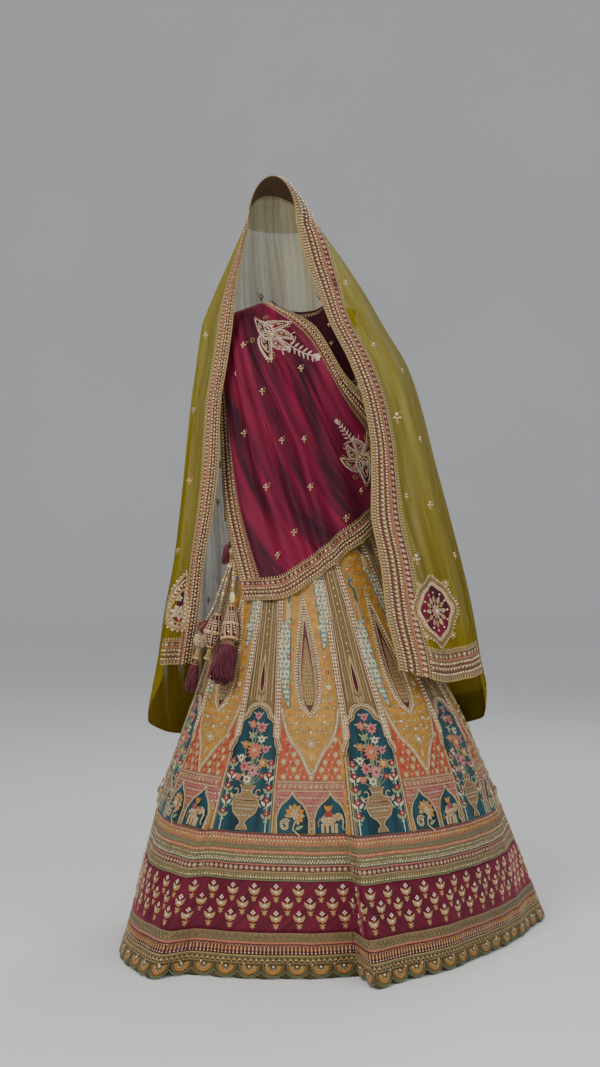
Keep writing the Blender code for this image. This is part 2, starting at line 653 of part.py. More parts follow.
def add_turned(collection, name, profile, top, bottom, sides, material):
    """A turned piece on the line from top to bottom; its profile lists radius and share of length."""
    length = (bottom - top).length
    mesh = bpy.data.meshes.new(name)
    mesh.from_pydata([(radius, 0.0, -share * length) for radius, share in profile],
                     [(n, n + 1) for n in range(len(profile) - 1)], [])
    mesh.materials.append(make_material(material))
    made = bpy.data.objects.new(name, mesh)
    made.location = top
    made.rotation_euler = (top - bottom).to_track_quat("Z", "Y").to_euler()
    screw = made.modifiers.new("Turned", "SCREW")
    screw.steps = screw.render_steps = sides
    screw.use_merge_vertices = True
    screw.merge_threshold = 0.0001
    collection.objects.link(made)


def add_tassel(collection, name, top, bottom, head, radius, flare, sides, material):
    """A yarn tassel: a turned head whose lower faces are drawn out into strands."""
    length = (bottom - top).length
    bm = bmesh.new()
    bmesh.ops.create_cone(bm, cap_ends=True, cap_tris=False, segments=sides, radius1=radius,
                          radius2=radius * 0.35, depth=head)
    bmesh.ops.translate(bm, verts=bm.verts, vec=(0.0, 0.0, -head / 2))
    base = [f for f in bm.faces if f.normal.z < -0.9]
    ring = bmesh.ops.inset_region(bm, faces=base, thickness=radius * 0.42)["faces"]
    middle = bmesh.ops.poke(bm, faces=base)["faces"]
    bmesh.ops.inset_individual(bm, faces=ring + middle, thickness=radius * 0.03)
    drawn = bmesh.ops.extrude_discrete_faces(bm, faces=ring + middle)["faces"]
    for n, face in enumerate(drawn):
        centre = face.calc_center_median()
        reach = (length - head) * (0.90 + 0.10 * math.sin(2.4 * n + 1.0))
        out = Vector((centre.x, centre.y, 0.0)) * (flare - 1.0)
        for vert in face.verts:
            vert.co = centre + (vert.co - centre) * 0.6 + out + Vector((0.0, 0.0, -reach))
    turn = (top - bottom).to_track_quat("Z", "Y").to_matrix().to_4x4()
    bmesh.ops.transform(bm, verts=bm.verts, matrix=Matrix.Translation(top) @ turn)
    add_object(collection, name, bm, material)


def add_latkans(collection):
    """The cords, buds and tassels that hang from the waist at the wearer's right hip."""
    knot = GATHER + Vector((0.0, 0.0, -KNOT))
    touch, straight = Vector((0.0, 0.0, SEAM_GAP)), Vector((0.0, 0.0, KNOT / 2))
    beside = [skirt_point(azimuth, height, -out) for azimuth, height, out in WAIST_CORD]
    add_cord(collection, "latkan_cord", [*beside, GATHER + straight, GATHER + touch], CORD)
    add_turned(collection, "latkan_knot", KNOT_PROFILE, GATHER, knot, 10, "gold cord")
    for name, (start, *route) in STRINGS.items():
        top = knot + start - touch
        add_cord(collection, f"latkan_{name}_string", [top, top - straight, *route], STRING)
    for name, profile, top, bottom, material in TURNED_PIECES:
        add_turned(collection, name, profile, top, bottom, 12, material)
    for name, top, bottom, head, radius, flare, sides in TASSELS:
        add_tassel(collection, name, top, bottom, head, radius, flare, sides, "maroon yarn")


def build():
    """Build the whole set in a collection of its own."""
    for old in list(bpy.data.objects):
        bpy.data.objects.remove(old, do_unlink=True)
    collection = bpy.data.collections.new("lehenga_choli")
    bpy.context.scene.collection.children.link(collection)
    add_gores(collection)
    add_skirt_bands(collection)
    add_hem_lace(collection)
    add_choli(collection)
    add_velvet_dupatta(collection)
    add_veil(collection)
    add_latkans(collection)


build()
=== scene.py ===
"""The looks of a bridal lehenga choli: its cloth, embroidery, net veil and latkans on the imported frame.

Metres, +Z up, the front towards -Y. The origin is the middle of the skirt's waist. Heights are
above the hem. An azimuth is in degrees, 0 at the front and growing towards +X, the wearer's left.
A flat pattern has x to the right as seen from outside, y up, and z out of the cloth.
"""
import sys
import logging
import math
from dataclasses import dataclass, field
from enum import Enum
from typing import Any, Callable, Iterable, Sequence

import bpy
import numpy as np
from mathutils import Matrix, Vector


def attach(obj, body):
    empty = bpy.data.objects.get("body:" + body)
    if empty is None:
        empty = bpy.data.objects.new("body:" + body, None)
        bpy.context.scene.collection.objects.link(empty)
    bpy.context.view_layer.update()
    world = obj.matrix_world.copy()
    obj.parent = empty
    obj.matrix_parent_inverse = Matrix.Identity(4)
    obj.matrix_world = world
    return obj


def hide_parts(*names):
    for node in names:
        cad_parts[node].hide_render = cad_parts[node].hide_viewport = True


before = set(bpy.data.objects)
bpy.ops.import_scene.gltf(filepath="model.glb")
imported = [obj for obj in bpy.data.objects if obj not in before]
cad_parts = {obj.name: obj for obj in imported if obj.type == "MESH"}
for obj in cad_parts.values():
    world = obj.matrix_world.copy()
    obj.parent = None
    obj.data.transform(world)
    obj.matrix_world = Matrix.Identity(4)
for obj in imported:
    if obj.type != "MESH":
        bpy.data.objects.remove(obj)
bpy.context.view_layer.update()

log = logging.getLogger("lehenga")

WAIST_HEIGHT = 1.155
THREAD_MAP = "Thread"
GROUND_PITCH = 0.008
GOLDEN_ANGLE = 2.39996
Array = np.ndarray
Colour = tuple[float, float, float]
Seat = Callable[[Array, Array, Array], Array]


class Value:
    """A number that varies over a surface: a shader socket that can stand in Python expressions."""

    def __init__(self, shader: "Shader", socket: bpy.types.NodeSocket) -> None:
        """Wrap a socket of a shader."""
        self.shader = shader
        self.socket = socket

    def maths(self, operation: str, *terms: Any) -> "Value":
        """Add a Math node.

        Args:
            operation: The node's operation.
            terms: Its inputs, numbers or values.

        Returns:
            The node's result.
        """
        node = self.shader.node("ShaderNodeMath", {"operation": operation}, dict(enumerate(terms)))
        return Value(self.shader, node.outputs[0])

    def __add__(self, other: Any) -> "Value":
        """Sum."""
        return self.maths("ADD", self, other)

    def __radd__(self, other: Any) -> "Value":
        """Sum, reflected."""
        return self.maths("ADD", other, self)

    def __sub__(self, other: Any) -> "Value":
        """Difference."""
        return self.maths("SUBTRACT", self, other)

    def __rsub__(self, other: Any) -> "Value":
        """Difference, reflected."""
        return self.maths("SUBTRACT", other, self)

    def __mul__(self, other: Any) -> "Value":
        """Product."""
        return self.maths("MULTIPLY", self, other)

    def __rmul__(self, other: Any) -> "Value":
        """Product, reflected."""
        return self.maths("MULTIPLY", other, self)

    def sine(self) -> "Value":
        """The sine of the value in radians."""
        return self.maths("SINE", self)

    def above(self, low: float, high: float) -> "Value":
        """A smooth step from 0 at low to 1 at high."""
        node = self.shader.node("ShaderNodeMapRange", {"interpolation_type": "SMOOTHSTEP"},
                                {"Value": self, "From Min": low, "From Max": high})
        return Value(self.shader, node.outputs[0])


class Shader:
    """The nodes of one material."""

    def __init__(self, name: str, **uniform: Any) -> None:
        """Start a material.

        Args:
            name: The material's name.
            uniform: Values of the Principled shader's sockets, with _ for a space.
        """
        self.material = bpy.data.materials.new(name)
        self.material.use_nodes = True
        self.tree = self.material.node_tree
        self.surface = self.tree.nodes["Principled BSDF"]
        for key, value in uniform.items():
            self.feed(self.surface.inputs[key.replace("_", " ")], value)

    def feed(self, socket: bpy.types.NodeSocket, value: Any) -> None:
        """Set a socket to a number or colour, or link a value or socket to it.

        Args:
            socket: The shader's socket.
            value: A colour, a number or another node's socket.
        """
        if isinstance(value, Value):
            value = value.socket
        if isinstance(value, bpy.types.NodeSocket):
            self.tree.links.new(value, socket)
        elif socket.type == "RGBA":
            socket.default_value = (*value, 1.0)
        else:
            socket.default_value = value

    def node(self, kind: str, settings: dict[str, Any], inputs: dict[Any, Any]) -> bpy.types.Node:
        """Add a node.

        Args:
            kind: The node's type.
            settings: Its properties, which are set first.
            inputs: The values or links of its sockets, by name or number.

        Returns:
            The node.
        """
        node = self.tree.nodes.new(kind)
        for key, value in settings.items():
            setattr(node, key, value)
        for key, value in inputs.items():
            self.feed(node.inputs[key], value)
        return node

    def paint(self, socket: str, value: Any) -> None:
        """Feed one of the Principled shader's sockets."""
        self.feed(self.surface.inputs[socket], value)

    def noise(self, scale: float, detail: float = 2.0) -> Value:
        """Smooth noise from 0 to 1 over the piece's own place."""
        place = self.node("ShaderNodeTexCoord", {}, {}).outputs["Object"]
        made = self.node("ShaderNodeTexNoise", {}, {"Vector": place, "Scale": scale, "Detail": detail})
        return Value(self, made.outputs[0])

    def thread(self) -> tuple[Value, Value]:
        """The metres along and across the thread or cloth, from the piece's thread map."""
        uv = self.node("ShaderNodeUVMap", {"uv_map": THREAD_MAP}, {}).outputs[0]
        split = self.node("ShaderNodeSeparateXYZ", {}, {0: uv})
        return Value(self, split.outputs[0]), Value(self, split.outputs[1])

    def height(self) -> Value:
        """Metres above the garment's origin."""
        place = self.node("ShaderNodeTexCoord", {}, {}).outputs["Object"]
        return Value(self, self.node("ShaderNodeSeparateXYZ", {}, {0: place}).outputs[2])

    def streaks(self, across: float, along: float, detail: float = 2.0) -> Value:
        """Noise from 0 to 1 drawn out along the cloth; across and along are its scales."""
        uv = self.node("ShaderNodeUVMap", {"uv_map": THREAD_MAP}, {}).outputs[0]
        drawn = self.node("ShaderNodeMapping", {}, {"Vector": uv, "Scale": (across, along, 1.0)})
        made = self.node("ShaderNodeTexNoise", {}, {"Vector": drawn.outputs[0], "Scale": 1.0,
                                                    "Detail": detail})
        return Value(self, made.outputs[0])

    def mix(self, factor: Value, low: Any, high: Any) -> bpy.types.NodeSocket:
        """The colour between low and high by a factor."""
        node = self.node("ShaderNodeMix", {"data_type": "RGBA"}, {0: factor, 6: low, 7: high})
        return node.outputs[2]

    def relief(self, height: Value, distance: float, strength: float = 1.0) -> None:
        """Bump the surface by a height from 0 to 1."""
        node = self.node("ShaderNodeBump", {}, {"Height": height, "Distance": distance,
                                                "Strength": strength})
        self.paint("Normal", node.outputs[0])


def waves(value: Value, pitch: float) -> Value:
    """Even waves from 0 to 1, one for each pitch in metres."""
    return 0.5 + 0.5 * (value * (math.tau / pitch)).sine()


@dataclass(frozen=True)
class Velvet:
    """Cut pile that is dark face on and lights up where it turns away. Its base colour also carries painted
    sheen and shade: fine crushed streaks and broad fold streaks run from a painted shade colour to a painted
    highlight colour.
    """

    # The first colour is the painted shade between the streaks, the second the painted sheen on them.
    deep: Colour
    painted_sheen_colour: Colour
    tint: Colour
    # How much of the broad painted fold light and shade is drawn in; the rest is an even middle tone.
    drawn: float = 1.0

    def material(self, name: str) -> bpy.types.Material:
        """The finish as a material called name.

        Args:
            name: The material's name.

        Returns:
            The material.
        """
        shader = Shader(name, Roughness=0.62, Sheen_Weight=0.75, Sheen_Roughness=0.32,
                        Sheen_Tint=self.tint, Specular_IOR_Level=0.25)
        # Painted sheen and shade: fine crushed streaks and broad fold streaks, mixed into the base colour
        # from shade to highlight.
        painted_crush_sheen = shader.streaks(70.0, 9.0, 3.0).above(0.34, 0.68)
        painted_fold_shading = shader.streaks(17.0, 2.4).above(0.38, 0.62) * self.drawn + 0.55 * (1.0 - self.drawn)
        shader.paint("Base Color", shader.mix(painted_crush_sheen * 0.3 + painted_fold_shading * 0.7, self.deep, self.painted_sheen_colour))
        shader.relief(shader.noise(1400.0, 1.0) * 0.5 + shader.streaks(90.0, 14.0), 0.0014, 0.6)
        return shader.material


@dataclass(frozen=True)
class Silk:
    """A woven ground with a soft shine, its weft a little darker than its warp."""

    warp: Colour
    weft: Colour
    roughness: float = 0.42

    def material(self, name: str) -> bpy.types.Material:
        """The finish as a material called name.

        Args:
            name: The material's name.

        Returns:
            The material.
        """
        shader = Shader(name, Sheen_Weight=0.25, Sheen_Roughness=0.4, Sheen_Tint=self.warp)
        along, across = shader.thread()
        weave = waves(along, 0.0014) * waves(across, 0.0014)
        slub = shader.noise(70.0, 3.0)
        shader.paint("Base Color", shader.mix(weave * 0.35 + slub.above(0.3, 0.75) * 0.65, self.weft,
                                              self.warp))
        shader.paint("Roughness", self.roughness + 0.2 * slub)
        shader.relief(weave * 0.5 + slub, 0.0012, 0.6)
        return shader.material


@dataclass(frozen=True)
class Tissue:
    """A ground worked all over in couched metal thread, as a fine lattice of raised grains."""

    metal: Colour
    shade: Colour
    grain: float
    metallic: float = 0.45

    def material(self, name: str) -> bpy.types.Material:
        """The finish as a material called name.

        Args:
            name: The material's name.

        Returns:
            The material.
        """
        shader = Shader(name, Metallic=self.metallic, Roughness=0.45)
        along, across = shader.thread()
        grains = waves(along + across, self.grain) * waves(along - across, self.grain)
        wear = shader.noise(120.0, 2.0).above(0.3, 0.7)
        raised = grains.above(0.08, 0.55) * (0.7 + 0.3 * wear)
        shader.paint("Base Color", shader.mix(raised, self.shade, self.metal))
        shader.relief(grains, 0.0012, 0.9)
        return shader.material


@dataclass(frozen=True)
class Thread:
    """Laid or twisted embroidery thread; twist is the metres between its turns."""

    light: Colour
    dark: Colour
    metallic: float = 0.0
    roughness: float = 0.45
    twist: float = 0.0022

    def material(self, name: str) -> bpy.types.Material:
        """The finish as a material called name.

        Args:
            name: The material's name.

        Returns:
            The material.
        """
        shader = Shader(name, Metallic=self.metallic, Sheen_Weight=0.15)
        along, across = shader.thread()
        turns = waves(along + across * 0.9, self.twist)
        wear = shader.noise(160.0, 2.0)
        shader.paint("Base Color", shader.mix(turns.above(0.05, 0.75) * 0.6 + wear * 0.4, self.dark,
                                              self.light))
        shader.paint("Roughness", self.roughness + 0.2 * wear)
        shader.relief(turns, 0.0008, 0.8)
        return shader.material


@dataclass(frozen=True)
class Glass:
    """Polished beads, stones and sequins."""

    light: Colour
    dark: Colour
    metallic: float = 0.0
    coat: float = 0.6

    def material(self, name: str) -> bpy.types.Material:
        """The finish as a material called name."""
        shader = Shader(name, Metallic=self.metallic, Coat_Weight=self.coat, Coat_Roughness=0.08)
        mottled = shader.noise(240.0, 1.0).above(0.35, 0.65)
        shader.paint("Base Color", shader.mix(mottled, self.dark, self.light))
        shader.paint("Roughness", 0.18 + 0.2 * mottled)
        return shader.material


@dataclass(frozen=True)
class Net:
    """Sheer net: open between its threads, and closer where its folds gather. Painted shade darkens the
    gathered folds, and painted light makes it paler towards the top.
    """

    thread_colour: Colour
    # The net's colour at the top, paler than its thread colour: painted light from above.
    crown_colour: Colour
    # The colour of the painted shade in the gathered folds.
    deep: Colour
    lobe: Colour
    open_share: float
    close_share: float

    def material(self, name: str) -> bpy.types.Material:
        """The finish as a material called name.

        Args:
            name: The material's name.

        Returns:
            The material.
        """
        shader = Shader(name, Roughness=0.7, Specular_IOR_Level=0.15)
        along, across = shader.thread()
        mesh = waves(along, 0.0016) * waves(across, 0.0016)
        folds = shader.streaks(26.0, 1.6, 3.0).above(0.32, 0.68)
        pulls = shader.streaks(110.0, 3.0).above(0.35, 0.7)
        # How closely the net gathers, which makes it less sheer, and how deep the painted shade in those
        # folds is.
        gathering_and_fold_shade = folds * 0.65 + pulls * 0.35
        high = shader.height().above(-0.45, 0.45)
        low = shader.height().above(-0.58, -0.36)
        opacity = self.open_share + (self.close_share - self.open_share) * gathering_and_fold_shade - 0.10 * mesh
        # Painted light: the net grows paler towards the top, as if lit from above.
        painted_top_light = shader.mix(high, self.thread_colour, self.crown_colour)
        cloth = shader.mix(gathering_and_fold_shade * 0.7 + mesh * 0.3, painted_top_light, self.deep)
        shader.paint("Base Color", shader.mix(low, self.lobe, cloth))
        shader.paint("Alpha", opacity - 0.10 * high + 0.45 * (1.0 - low))
        shader.relief(mesh * 0.4 + pulls, 0.0010, 0.5)
        return shader.material


class Finish(Enum):
    """Every finish of the set."""

    MAROON_VELVET = Velvet((0.030, 0.0010, 0.009), (0.21, 0.004, 0.036), (0.80, 0.10, 0.24))
    CHOLI_VELVET = Velvet((0.016, 0.001, 0.006), (0.060, 0.003, 0.014), (0.45, 0.06, 0.14))
    TEAL_VELVET = Velvet((0.003, 0.012, 0.019), (0.010, 0.062, 0.082), (0.16, 0.48, 0.58))
    BAND_VELVET = Velvet((0.022, 0.001, 0.006), (0.19, 0.005, 0.030), (0.75, 0.10, 0.20), 0.25)
    MUSTARD_SILK = Silk((0.60, 0.295, 0.035), (0.33, 0.145, 0.016))
    ORANGE_SILK = Silk((0.55, 0.085, 0.016), (0.27, 0.032, 0.009))
    ROSE_SILK = Silk((0.42, 0.16, 0.115), (0.22, 0.05, 0.04))
    MAROON_SILK = Silk((0.12, 0.010, 0.022), (0.05, 0.003, 0.010))
    OLIVE_SILK = Silk((0.19, 0.17, 0.065), (0.085, 0.08, 0.03))
    GOLD_TISSUE = Tissue((0.52, 0.37, 0.155), (0.11, 0.058, 0.020), 0.0046)
    PALE_TISSUE = Tissue((0.66, 0.50, 0.255), (0.15, 0.075, 0.03), 0.0038)
    ZARI = Tissue((0.41, 0.270, 0.135), (0.075, 0.026, 0.020), 0.0050, 0.5)
    LACE = Tissue((0.36, 0.26, 0.09), (0.07, 0.05, 0.02), 0.0050)
    GOLD = Thread((0.70, 0.49, 0.195), (0.22, 0.12, 0.035), 0.55, 0.32)
    ANTIQUE = Thread((0.44, 0.32, 0.155), (0.12, 0.070, 0.028), 0.4, 0.42)
    PALE_GOLD = Thread((0.74, 0.56, 0.30), (0.30, 0.19, 0.085), 0.4, 0.36)
    IVORY_GOLD = Thread((0.78, 0.66, 0.49), (0.38, 0.27, 0.175), 0.25, 0.4)
    AMBER = Thread((0.66, 0.30, 0.055), (0.33, 0.12, 0.02), 0.35, 0.4)
    OLIVE = Thread((0.23, 0.24, 0.10), (0.08, 0.09, 0.04), 0.2)
    DEEP_GREEN = Thread((0.035, 0.10, 0.075), (0.012, 0.04, 0.03))
    LEAF = Thread((0.36, 0.42, 0.20), (0.13, 0.19, 0.08))
    PINK = Thread((0.66, 0.235, 0.225), (0.42, 0.095, 0.11))
    CORAL = Thread((0.68, 0.20, 0.10), (0.42, 0.08, 0.04))
    RED = Thread((0.40, 0.028, 0.035), (0.18, 0.010, 0.016))
    MAROON = Thread((0.17, 0.014, 0.030), (0.07, 0.004, 0.012))
    CREAM = Thread((0.74, 0.72, 0.50), (0.48, 0.46, 0.27))
    BLUE = Glass((0.045, 0.16, 0.30), (0.012, 0.045, 0.10))
    PEARL = Glass((0.80, 0.66, 0.47), (0.50, 0.35, 0.20))
    BEAD = Glass((0.80, 0.60, 0.34), (0.45, 0.28, 0.12), 0.55)
    STONE = Glass((0.80, 0.84, 0.86), (0.46, 0.50, 0.54), 0.35, 1.0)
    IVORY = Glass((0.80, 0.72, 0.34), (0.62, 0.50, 0.20))
    YARN = Thread((0.20, 0.018, 0.040), (0.06, 0.004, 0.012), 0.0, 0.7, 0.0035)
    VEIL_NET = Net((0.35, 0.265, 0.006), (0.46, 0.385, 0.014), (0.20, 0.140, 0.003), (0.36, 0.275, 0.012),
                   0.78, 0.96)
    BACK_NET = Net((0.42, 0.320, 0.018), (0.50, 0.425, 0.030), (0.24, 0.170, 0.008), (0.38, 0.295, 0.020),
                   0.48, 0.84)


class Wardrobe:
    """The materials, each made once."""

    made: dict[Finish, bpy.types.Material] = {}

    @classmethod
    def material(cls, finish: Finish) -> bpy.types.Material:
        """The material of a finish."""
        if finish not in cls.made:
            cls.made[finish] = finish.value.material(finish.name.lower())
        return cls.made[finish]


class Table:
    """A short table of sections, read between its rows by a curve that never overshoots."""

    def __init__(self, columns: str, rows: Iterable[Sequence[float]]) -> None:
        """Keep the rows in order of their first column, with the slope of each column at each row."""
        grid = np.array(sorted(rows), float)
        self.at = grid[:, 0]
        self.values = dict(zip(columns.split(), grid.T))
        self.slopes = {name: self.tangents(self.at, values) for name, values in self.values.items()}

    @staticmethod
    def tangents(at: Array, values: Array) -> Array:
        """Slopes at the rows, level where the values turn. The last axis of values is the rows'.

        Args:
            at: The rows' own places.
            values: The values at the rows.

        Returns:
            The slope at each row.
        """
        slopes = np.diff(values) / np.diff(at)
        before, after = slopes[..., :-1], slopes[..., 1:]
        rising = before * after > 0
        total = np.where(rising, before + after, 1.0)
        inner = np.where(rising, 2 * before * after / total, 0.0)
        return np.concatenate([slopes[..., :1], inner, slopes[..., -1:]], axis=-1)

    def __call__(self, column: str, where: Any) -> Array:
        """The named column's values at places in the first column.

        Args:
            column: The column's name.
            where: Places in the first column.

        Returns:
            The values there.
        """
        where = np.clip(where, self.at[0], self.at[-1])
        i = np.clip(np.searchsorted(self.at, where, side="right") - 1, 0, len(self.at) - 2)
        width = self.at[i + 1] - self.at[i]
        values, slopes = self.values[column], self.slopes[column]
        return hermite((where - self.at[i]) / width, values[i], slopes[i] * width, values[i + 1],
                       slopes[i + 1] * width)


def hermite(t: Array, start: Array, leaving: Array, end: Array, arriving: Array) -> Array:
    """A cubic from start to end with given slopes, at t from 0 to 1."""
    rest = 1.0 - t
    return (start * (1 + 2 * t) * rest * rest + leaving * t * rest * rest
            + end * (3 - 2 * t) * t * t - arriving * t * t * rest)


def ease(t: Any) -> Array:
    """A smooth rise from 0 to 1."""
    t = np.clip(t, 0.0, 1.0)
    return t * t * (3 - 2 * t)


def hung(x: float, y: float, height: float) -> Vector:
    """A point given by its height above the hem."""
    return Vector((x, y, height - WAIST_HEIGHT))


class Surface:
    """A cloth surface: two coordinates give a point."""

    step = (0.002, 0.002)
    side = 1.0

    def point(self, u: Array, v: Array) -> Array:
        """The points at u and v."""
        raise NotImplementedError

    def place(self, u: Array, v: Array, lift: Any = 0.0) -> Array:
        """The points moved out of the cloth by lift.

        Args:
            u: The cloth's first coordinate.
            v: The cloth's second coordinate.
            lift: The height over the cloth in metres.

        Returns:
            The places, one row each.
        """
        u, v = np.broadcast_arrays(np.asarray(u, float), np.asarray(v, float))
        across = self.point(u + self.step[0], v) - self.point(u - self.step[0], v)
        along = self.point(u, v + self.step[1]) - self.point(u, v - self.step[1])
        normal = np.cross(across, along) * self.side
        normal /= np.maximum(np.linalg.norm(normal, axis=-1, keepdims=True), 1e-12)
        return self.point(u, v) + normal * np.asarray(lift)[..., None]

    def seat_at(self, u: float, v: float, turn: float = 0.0, size: float = 1.0) -> Seat:
        """A seat for a flat pattern, centred at u and v.

        Args:
            u: The first coordinate of the pattern's centre.
            v: The second.
            turn: Degrees that the pattern is turned, anticlockwise as seen from outside.
            size: How much larger it is made.

        Returns:
            A function from flat x, y and z to points.
        """
        ends = self.point(np.array([u - self.step[0], u + self.step[0], u, u]),
                          np.array([v, v, v - self.step[1], v + self.step[1]]))
        across, along = (ends[1] - ends[0]) / (2 * self.step[0]), (ends[3] - ends[2]) / (2 * self.step[1])
        grid = np.stack([across, along], axis=1)
        outward = np.cross(across, along) * self.side
        outward /= np.linalg.norm(outward)
        flat_along = along - outward * (along @ outward)
        up = np.array([0.0, 0.0, 1.0]) - outward * outward[2]
        up = up / np.linalg.norm(up) if np.linalg.norm(up) > 0.2 else flat_along / np.linalg.norm(flat_along)
        right = np.cross(up, outward)
        inverse = np.linalg.pinv(grid)
        c, s = math.cos(math.radians(turn)) * size, math.sin(math.radians(turn)) * size

        def seat(x: Array, y: Array, z: Array) -> Array:
            """The points of a flat pattern."""
            flat = np.outer(x * c - y * s, right) + np.outer(x * s + y * c, up)
            shift = flat @ inverse.T
            return self.place(u + shift[:, 0], v + shift[:, 1], z)

        return seat


class Work:
    """Faces gathered for one piece, with the finish and the thread coordinates of each.

    A flat pattern is a work whose points are x, y and z of the plane; moved() lays it on cloth.
    """

    fine_bead = 0.0025
    leaf_t = np.array([0.0, 0.30, 0.30, 0.30, 0.72, 0.72, 0.72, 1.0])
    leaf_side = np.array([0.0, 1.0, 0.0, -1.0, 1.0, 0.0, -1.0, 0.0])
    leaf_faces = np.array([(0, 2, 1), (0, 3, 2), (1, 2, 5), (1, 5, 4), (2, 3, 6), (2, 6, 5), (4, 5, 7),
                           (5, 6, 7)])

    def __init__(self) -> None:
        """Start with nothing."""
        self.points: list[Array] = []
        self.faces: list[Array] = []
        self.threads: list[Array] = []
        self.finishes: list[Finish] = []
        self.count = 0

    def add(self, points: Array, faces: Array, thread: Array, finish: Finish) -> None:
        """Add points with the triangles between them, their thread coordinates and their finish."""
        self.points.append(np.asarray(points, float))
        self.faces.append(np.asarray(faces, int) + self.count)
        self.threads.append(np.asarray(thread, float))
        self.finishes.append(finish)
        self.count += len(points)

    def extend(self, other: "Work", x: float = 0.0, y: float = 0.0, turn: float = 0.0,
               size: float = 1.0, mirror: bool = False) -> "Work":
        """Add another flat pattern, mirrored, turned, resized and moved.

        Args:
            other: The pattern.
            x: Where its origin goes across.
            y: Where its origin goes up.
            turn: Degrees anticlockwise.
            size: Its scale.
            mirror: Whether its left and right change places first.

        Returns:
            This work.
        """
        c, s = math.cos(math.radians(turn)) * size, math.sin(math.radians(turn)) * size
        sign = -1.0 if mirror else 1.0
        for points, faces, thread, finish in zip(other.points, other.faces, other.threads, other.finishes):
            px, py = points[:, 0] * sign, points[:, 1]
            made = np.stack([x + px * c - py * s, y + px * s + py * c, points[:, 2] * size], axis=1)
            start = faces - (faces.min() if len(faces) else 0)
            turned = start[:, ::-1] if mirror else start
            self.add(made, turned, thread * size, finish)
        return self

    def moved(self, seat: Seat) -> "Work":
        """This pattern laid on cloth by a seat.

        Args:
            seat: The way from flat places to places on cloth.

        Returns:
            The laid work.
        """
        laid = Work()
        if self.count:
            points = np.concatenate(self.points)
            laid.points = [seat(points[:, 0], points[:, 1], points[:, 2])]
            laid.faces, laid.threads = list(self.faces), list(self.threads)
            laid.finishes, laid.count = list(self.finishes), self.count
        return laid

    def join(self, other: "Work") -> "Work":
        """Add another laid work as it is.

        Args:
            other: The work that is taken in.

        Returns:
            This work, with the other in it.
        """
        shift = self.count
        self.points += other.points
        self.faces += [faces + shift for faces in other.faces]
        self.threads += other.threads
        self.finishes += other.finishes
        self.count += other.count
        return self

    def grid(self, points: Array, thread: Array, finish: Finish, closed: bool = False) -> None:
        """Add a grid of points, row by row; closed joins the ends of each row.

        Args:
            points: A grid of places.
            thread: The metres along and across the cloth at each place.
            finish: The finish it is worked in.
            closed: Whether the rows join up.
        """
        rows, columns = points.shape[:2]
        r, c = np.meshgrid(np.arange(rows - 1), np.arange(columns if closed else columns - 1),
                           indexing="ij")
        r, c = r.ravel(), c.ravel()
        d = (c + 1) % columns
        corners = [r * columns + c, r * columns + d, (r + 1) * columns + d, (r + 1) * columns + c]
        faces = np.concatenate([np.stack([corners[0], corners[1], corners[2]], 1),
                                np.stack([corners[0], corners[2], corners[3]], 1)])
        self.add(points.reshape(-1, 3), faces, thread.reshape(-1, 2), finish)

    def beads(self, places: Array, radius: float, finish: Finish, height: float = 0.8,
              lift: float = 0.0, sides: int = 6) -> None:
        """Add a dome at each place.

        Args:
            places: Rows of x and y.
            radius: Each dome's radius.
            finish: Its finish.
            height: Its height as a share of its radius.
            lift: How far its base is out of the cloth.
            sides: The number of its sides.
        """
        places = np.atleast_2d(np.asarray(places, float))
        turns = np.arange(sides) * math.tau / sides
        ring = np.stack([np.cos(turns), np.sin(turns)], 1)
        k = np.arange(sides)
        n = (k + 1) % sides
        if radius < self.fine_bead:
            dome = np.concatenate([np.c_[ring, np.zeros(sides)], [[0.0, 0.0, 1.0]]])
            faces = np.stack([k, n, np.full(sides, sides)], 1)
        else:
            dome = np.concatenate([np.c_[ring, np.zeros(sides)], np.c_[ring * 0.72, np.full(sides, 0.7)],
                                   [[0.0, 0.0, 1.0]]])
            faces = np.concatenate([np.stack([k, n, n + sides], 1),
                                    np.stack([k, n + sides, k + sides], 1),
                                    np.stack([k + sides, n + sides, np.full(sides, 2 * sides)], 1)])
        shape = dome * (radius, radius, radius * height) + (0.0, 0.0, lift)
        points = (shape[None] + np.c_[places, np.zeros(len(places))][:, None]).reshape(-1, 3)
        every = (faces[None] + (np.arange(len(places)) * len(dome))[:, None, None]).reshape(-1, 3)
        self.add(points, every, points[:, :2], finish)

    def cord(self, line: Any, width: float, finish: Finish, lift: float = 0.0, height: float = 0.45,
             taper: float = 1.0) -> None:
        """Add a rounded cord along a line.

        Args:
            line: Rows of x and y.
            width: The cord's width.
            finish: Its finish.
            lift: How far its base is out of the cloth.
            height: Its height as a share of its width.
            taper: The width at the line's end as a share of that at its start.
        """
        line = np.asarray(line, float)
        ahead = np.gradient(line, axis=0)
        ahead /= np.maximum(np.linalg.norm(ahead, axis=1, keepdims=True), 1e-9)
        beside = np.stack([-ahead[:, 1], ahead[:, 0]], 1)
        run = np.r_[0.0, np.cumsum(np.linalg.norm(np.diff(line, axis=0), axis=1))]
        widths = width * np.interp(run, [0.0, run[-1]], [1.0, taper])
        rows, threads = [], []
        for share, rise in ((-0.5, 0.0), (0.0, 1.0), (0.5, 0.0)):
            flat = line + beside * (share * widths)[:, None]
            rows.append(np.c_[flat, lift + rise * height * widths])
            threads.append(np.c_[run, share * widths])
        self.grid(np.stack(rows[::-1]), np.stack(threads[::-1]), finish)

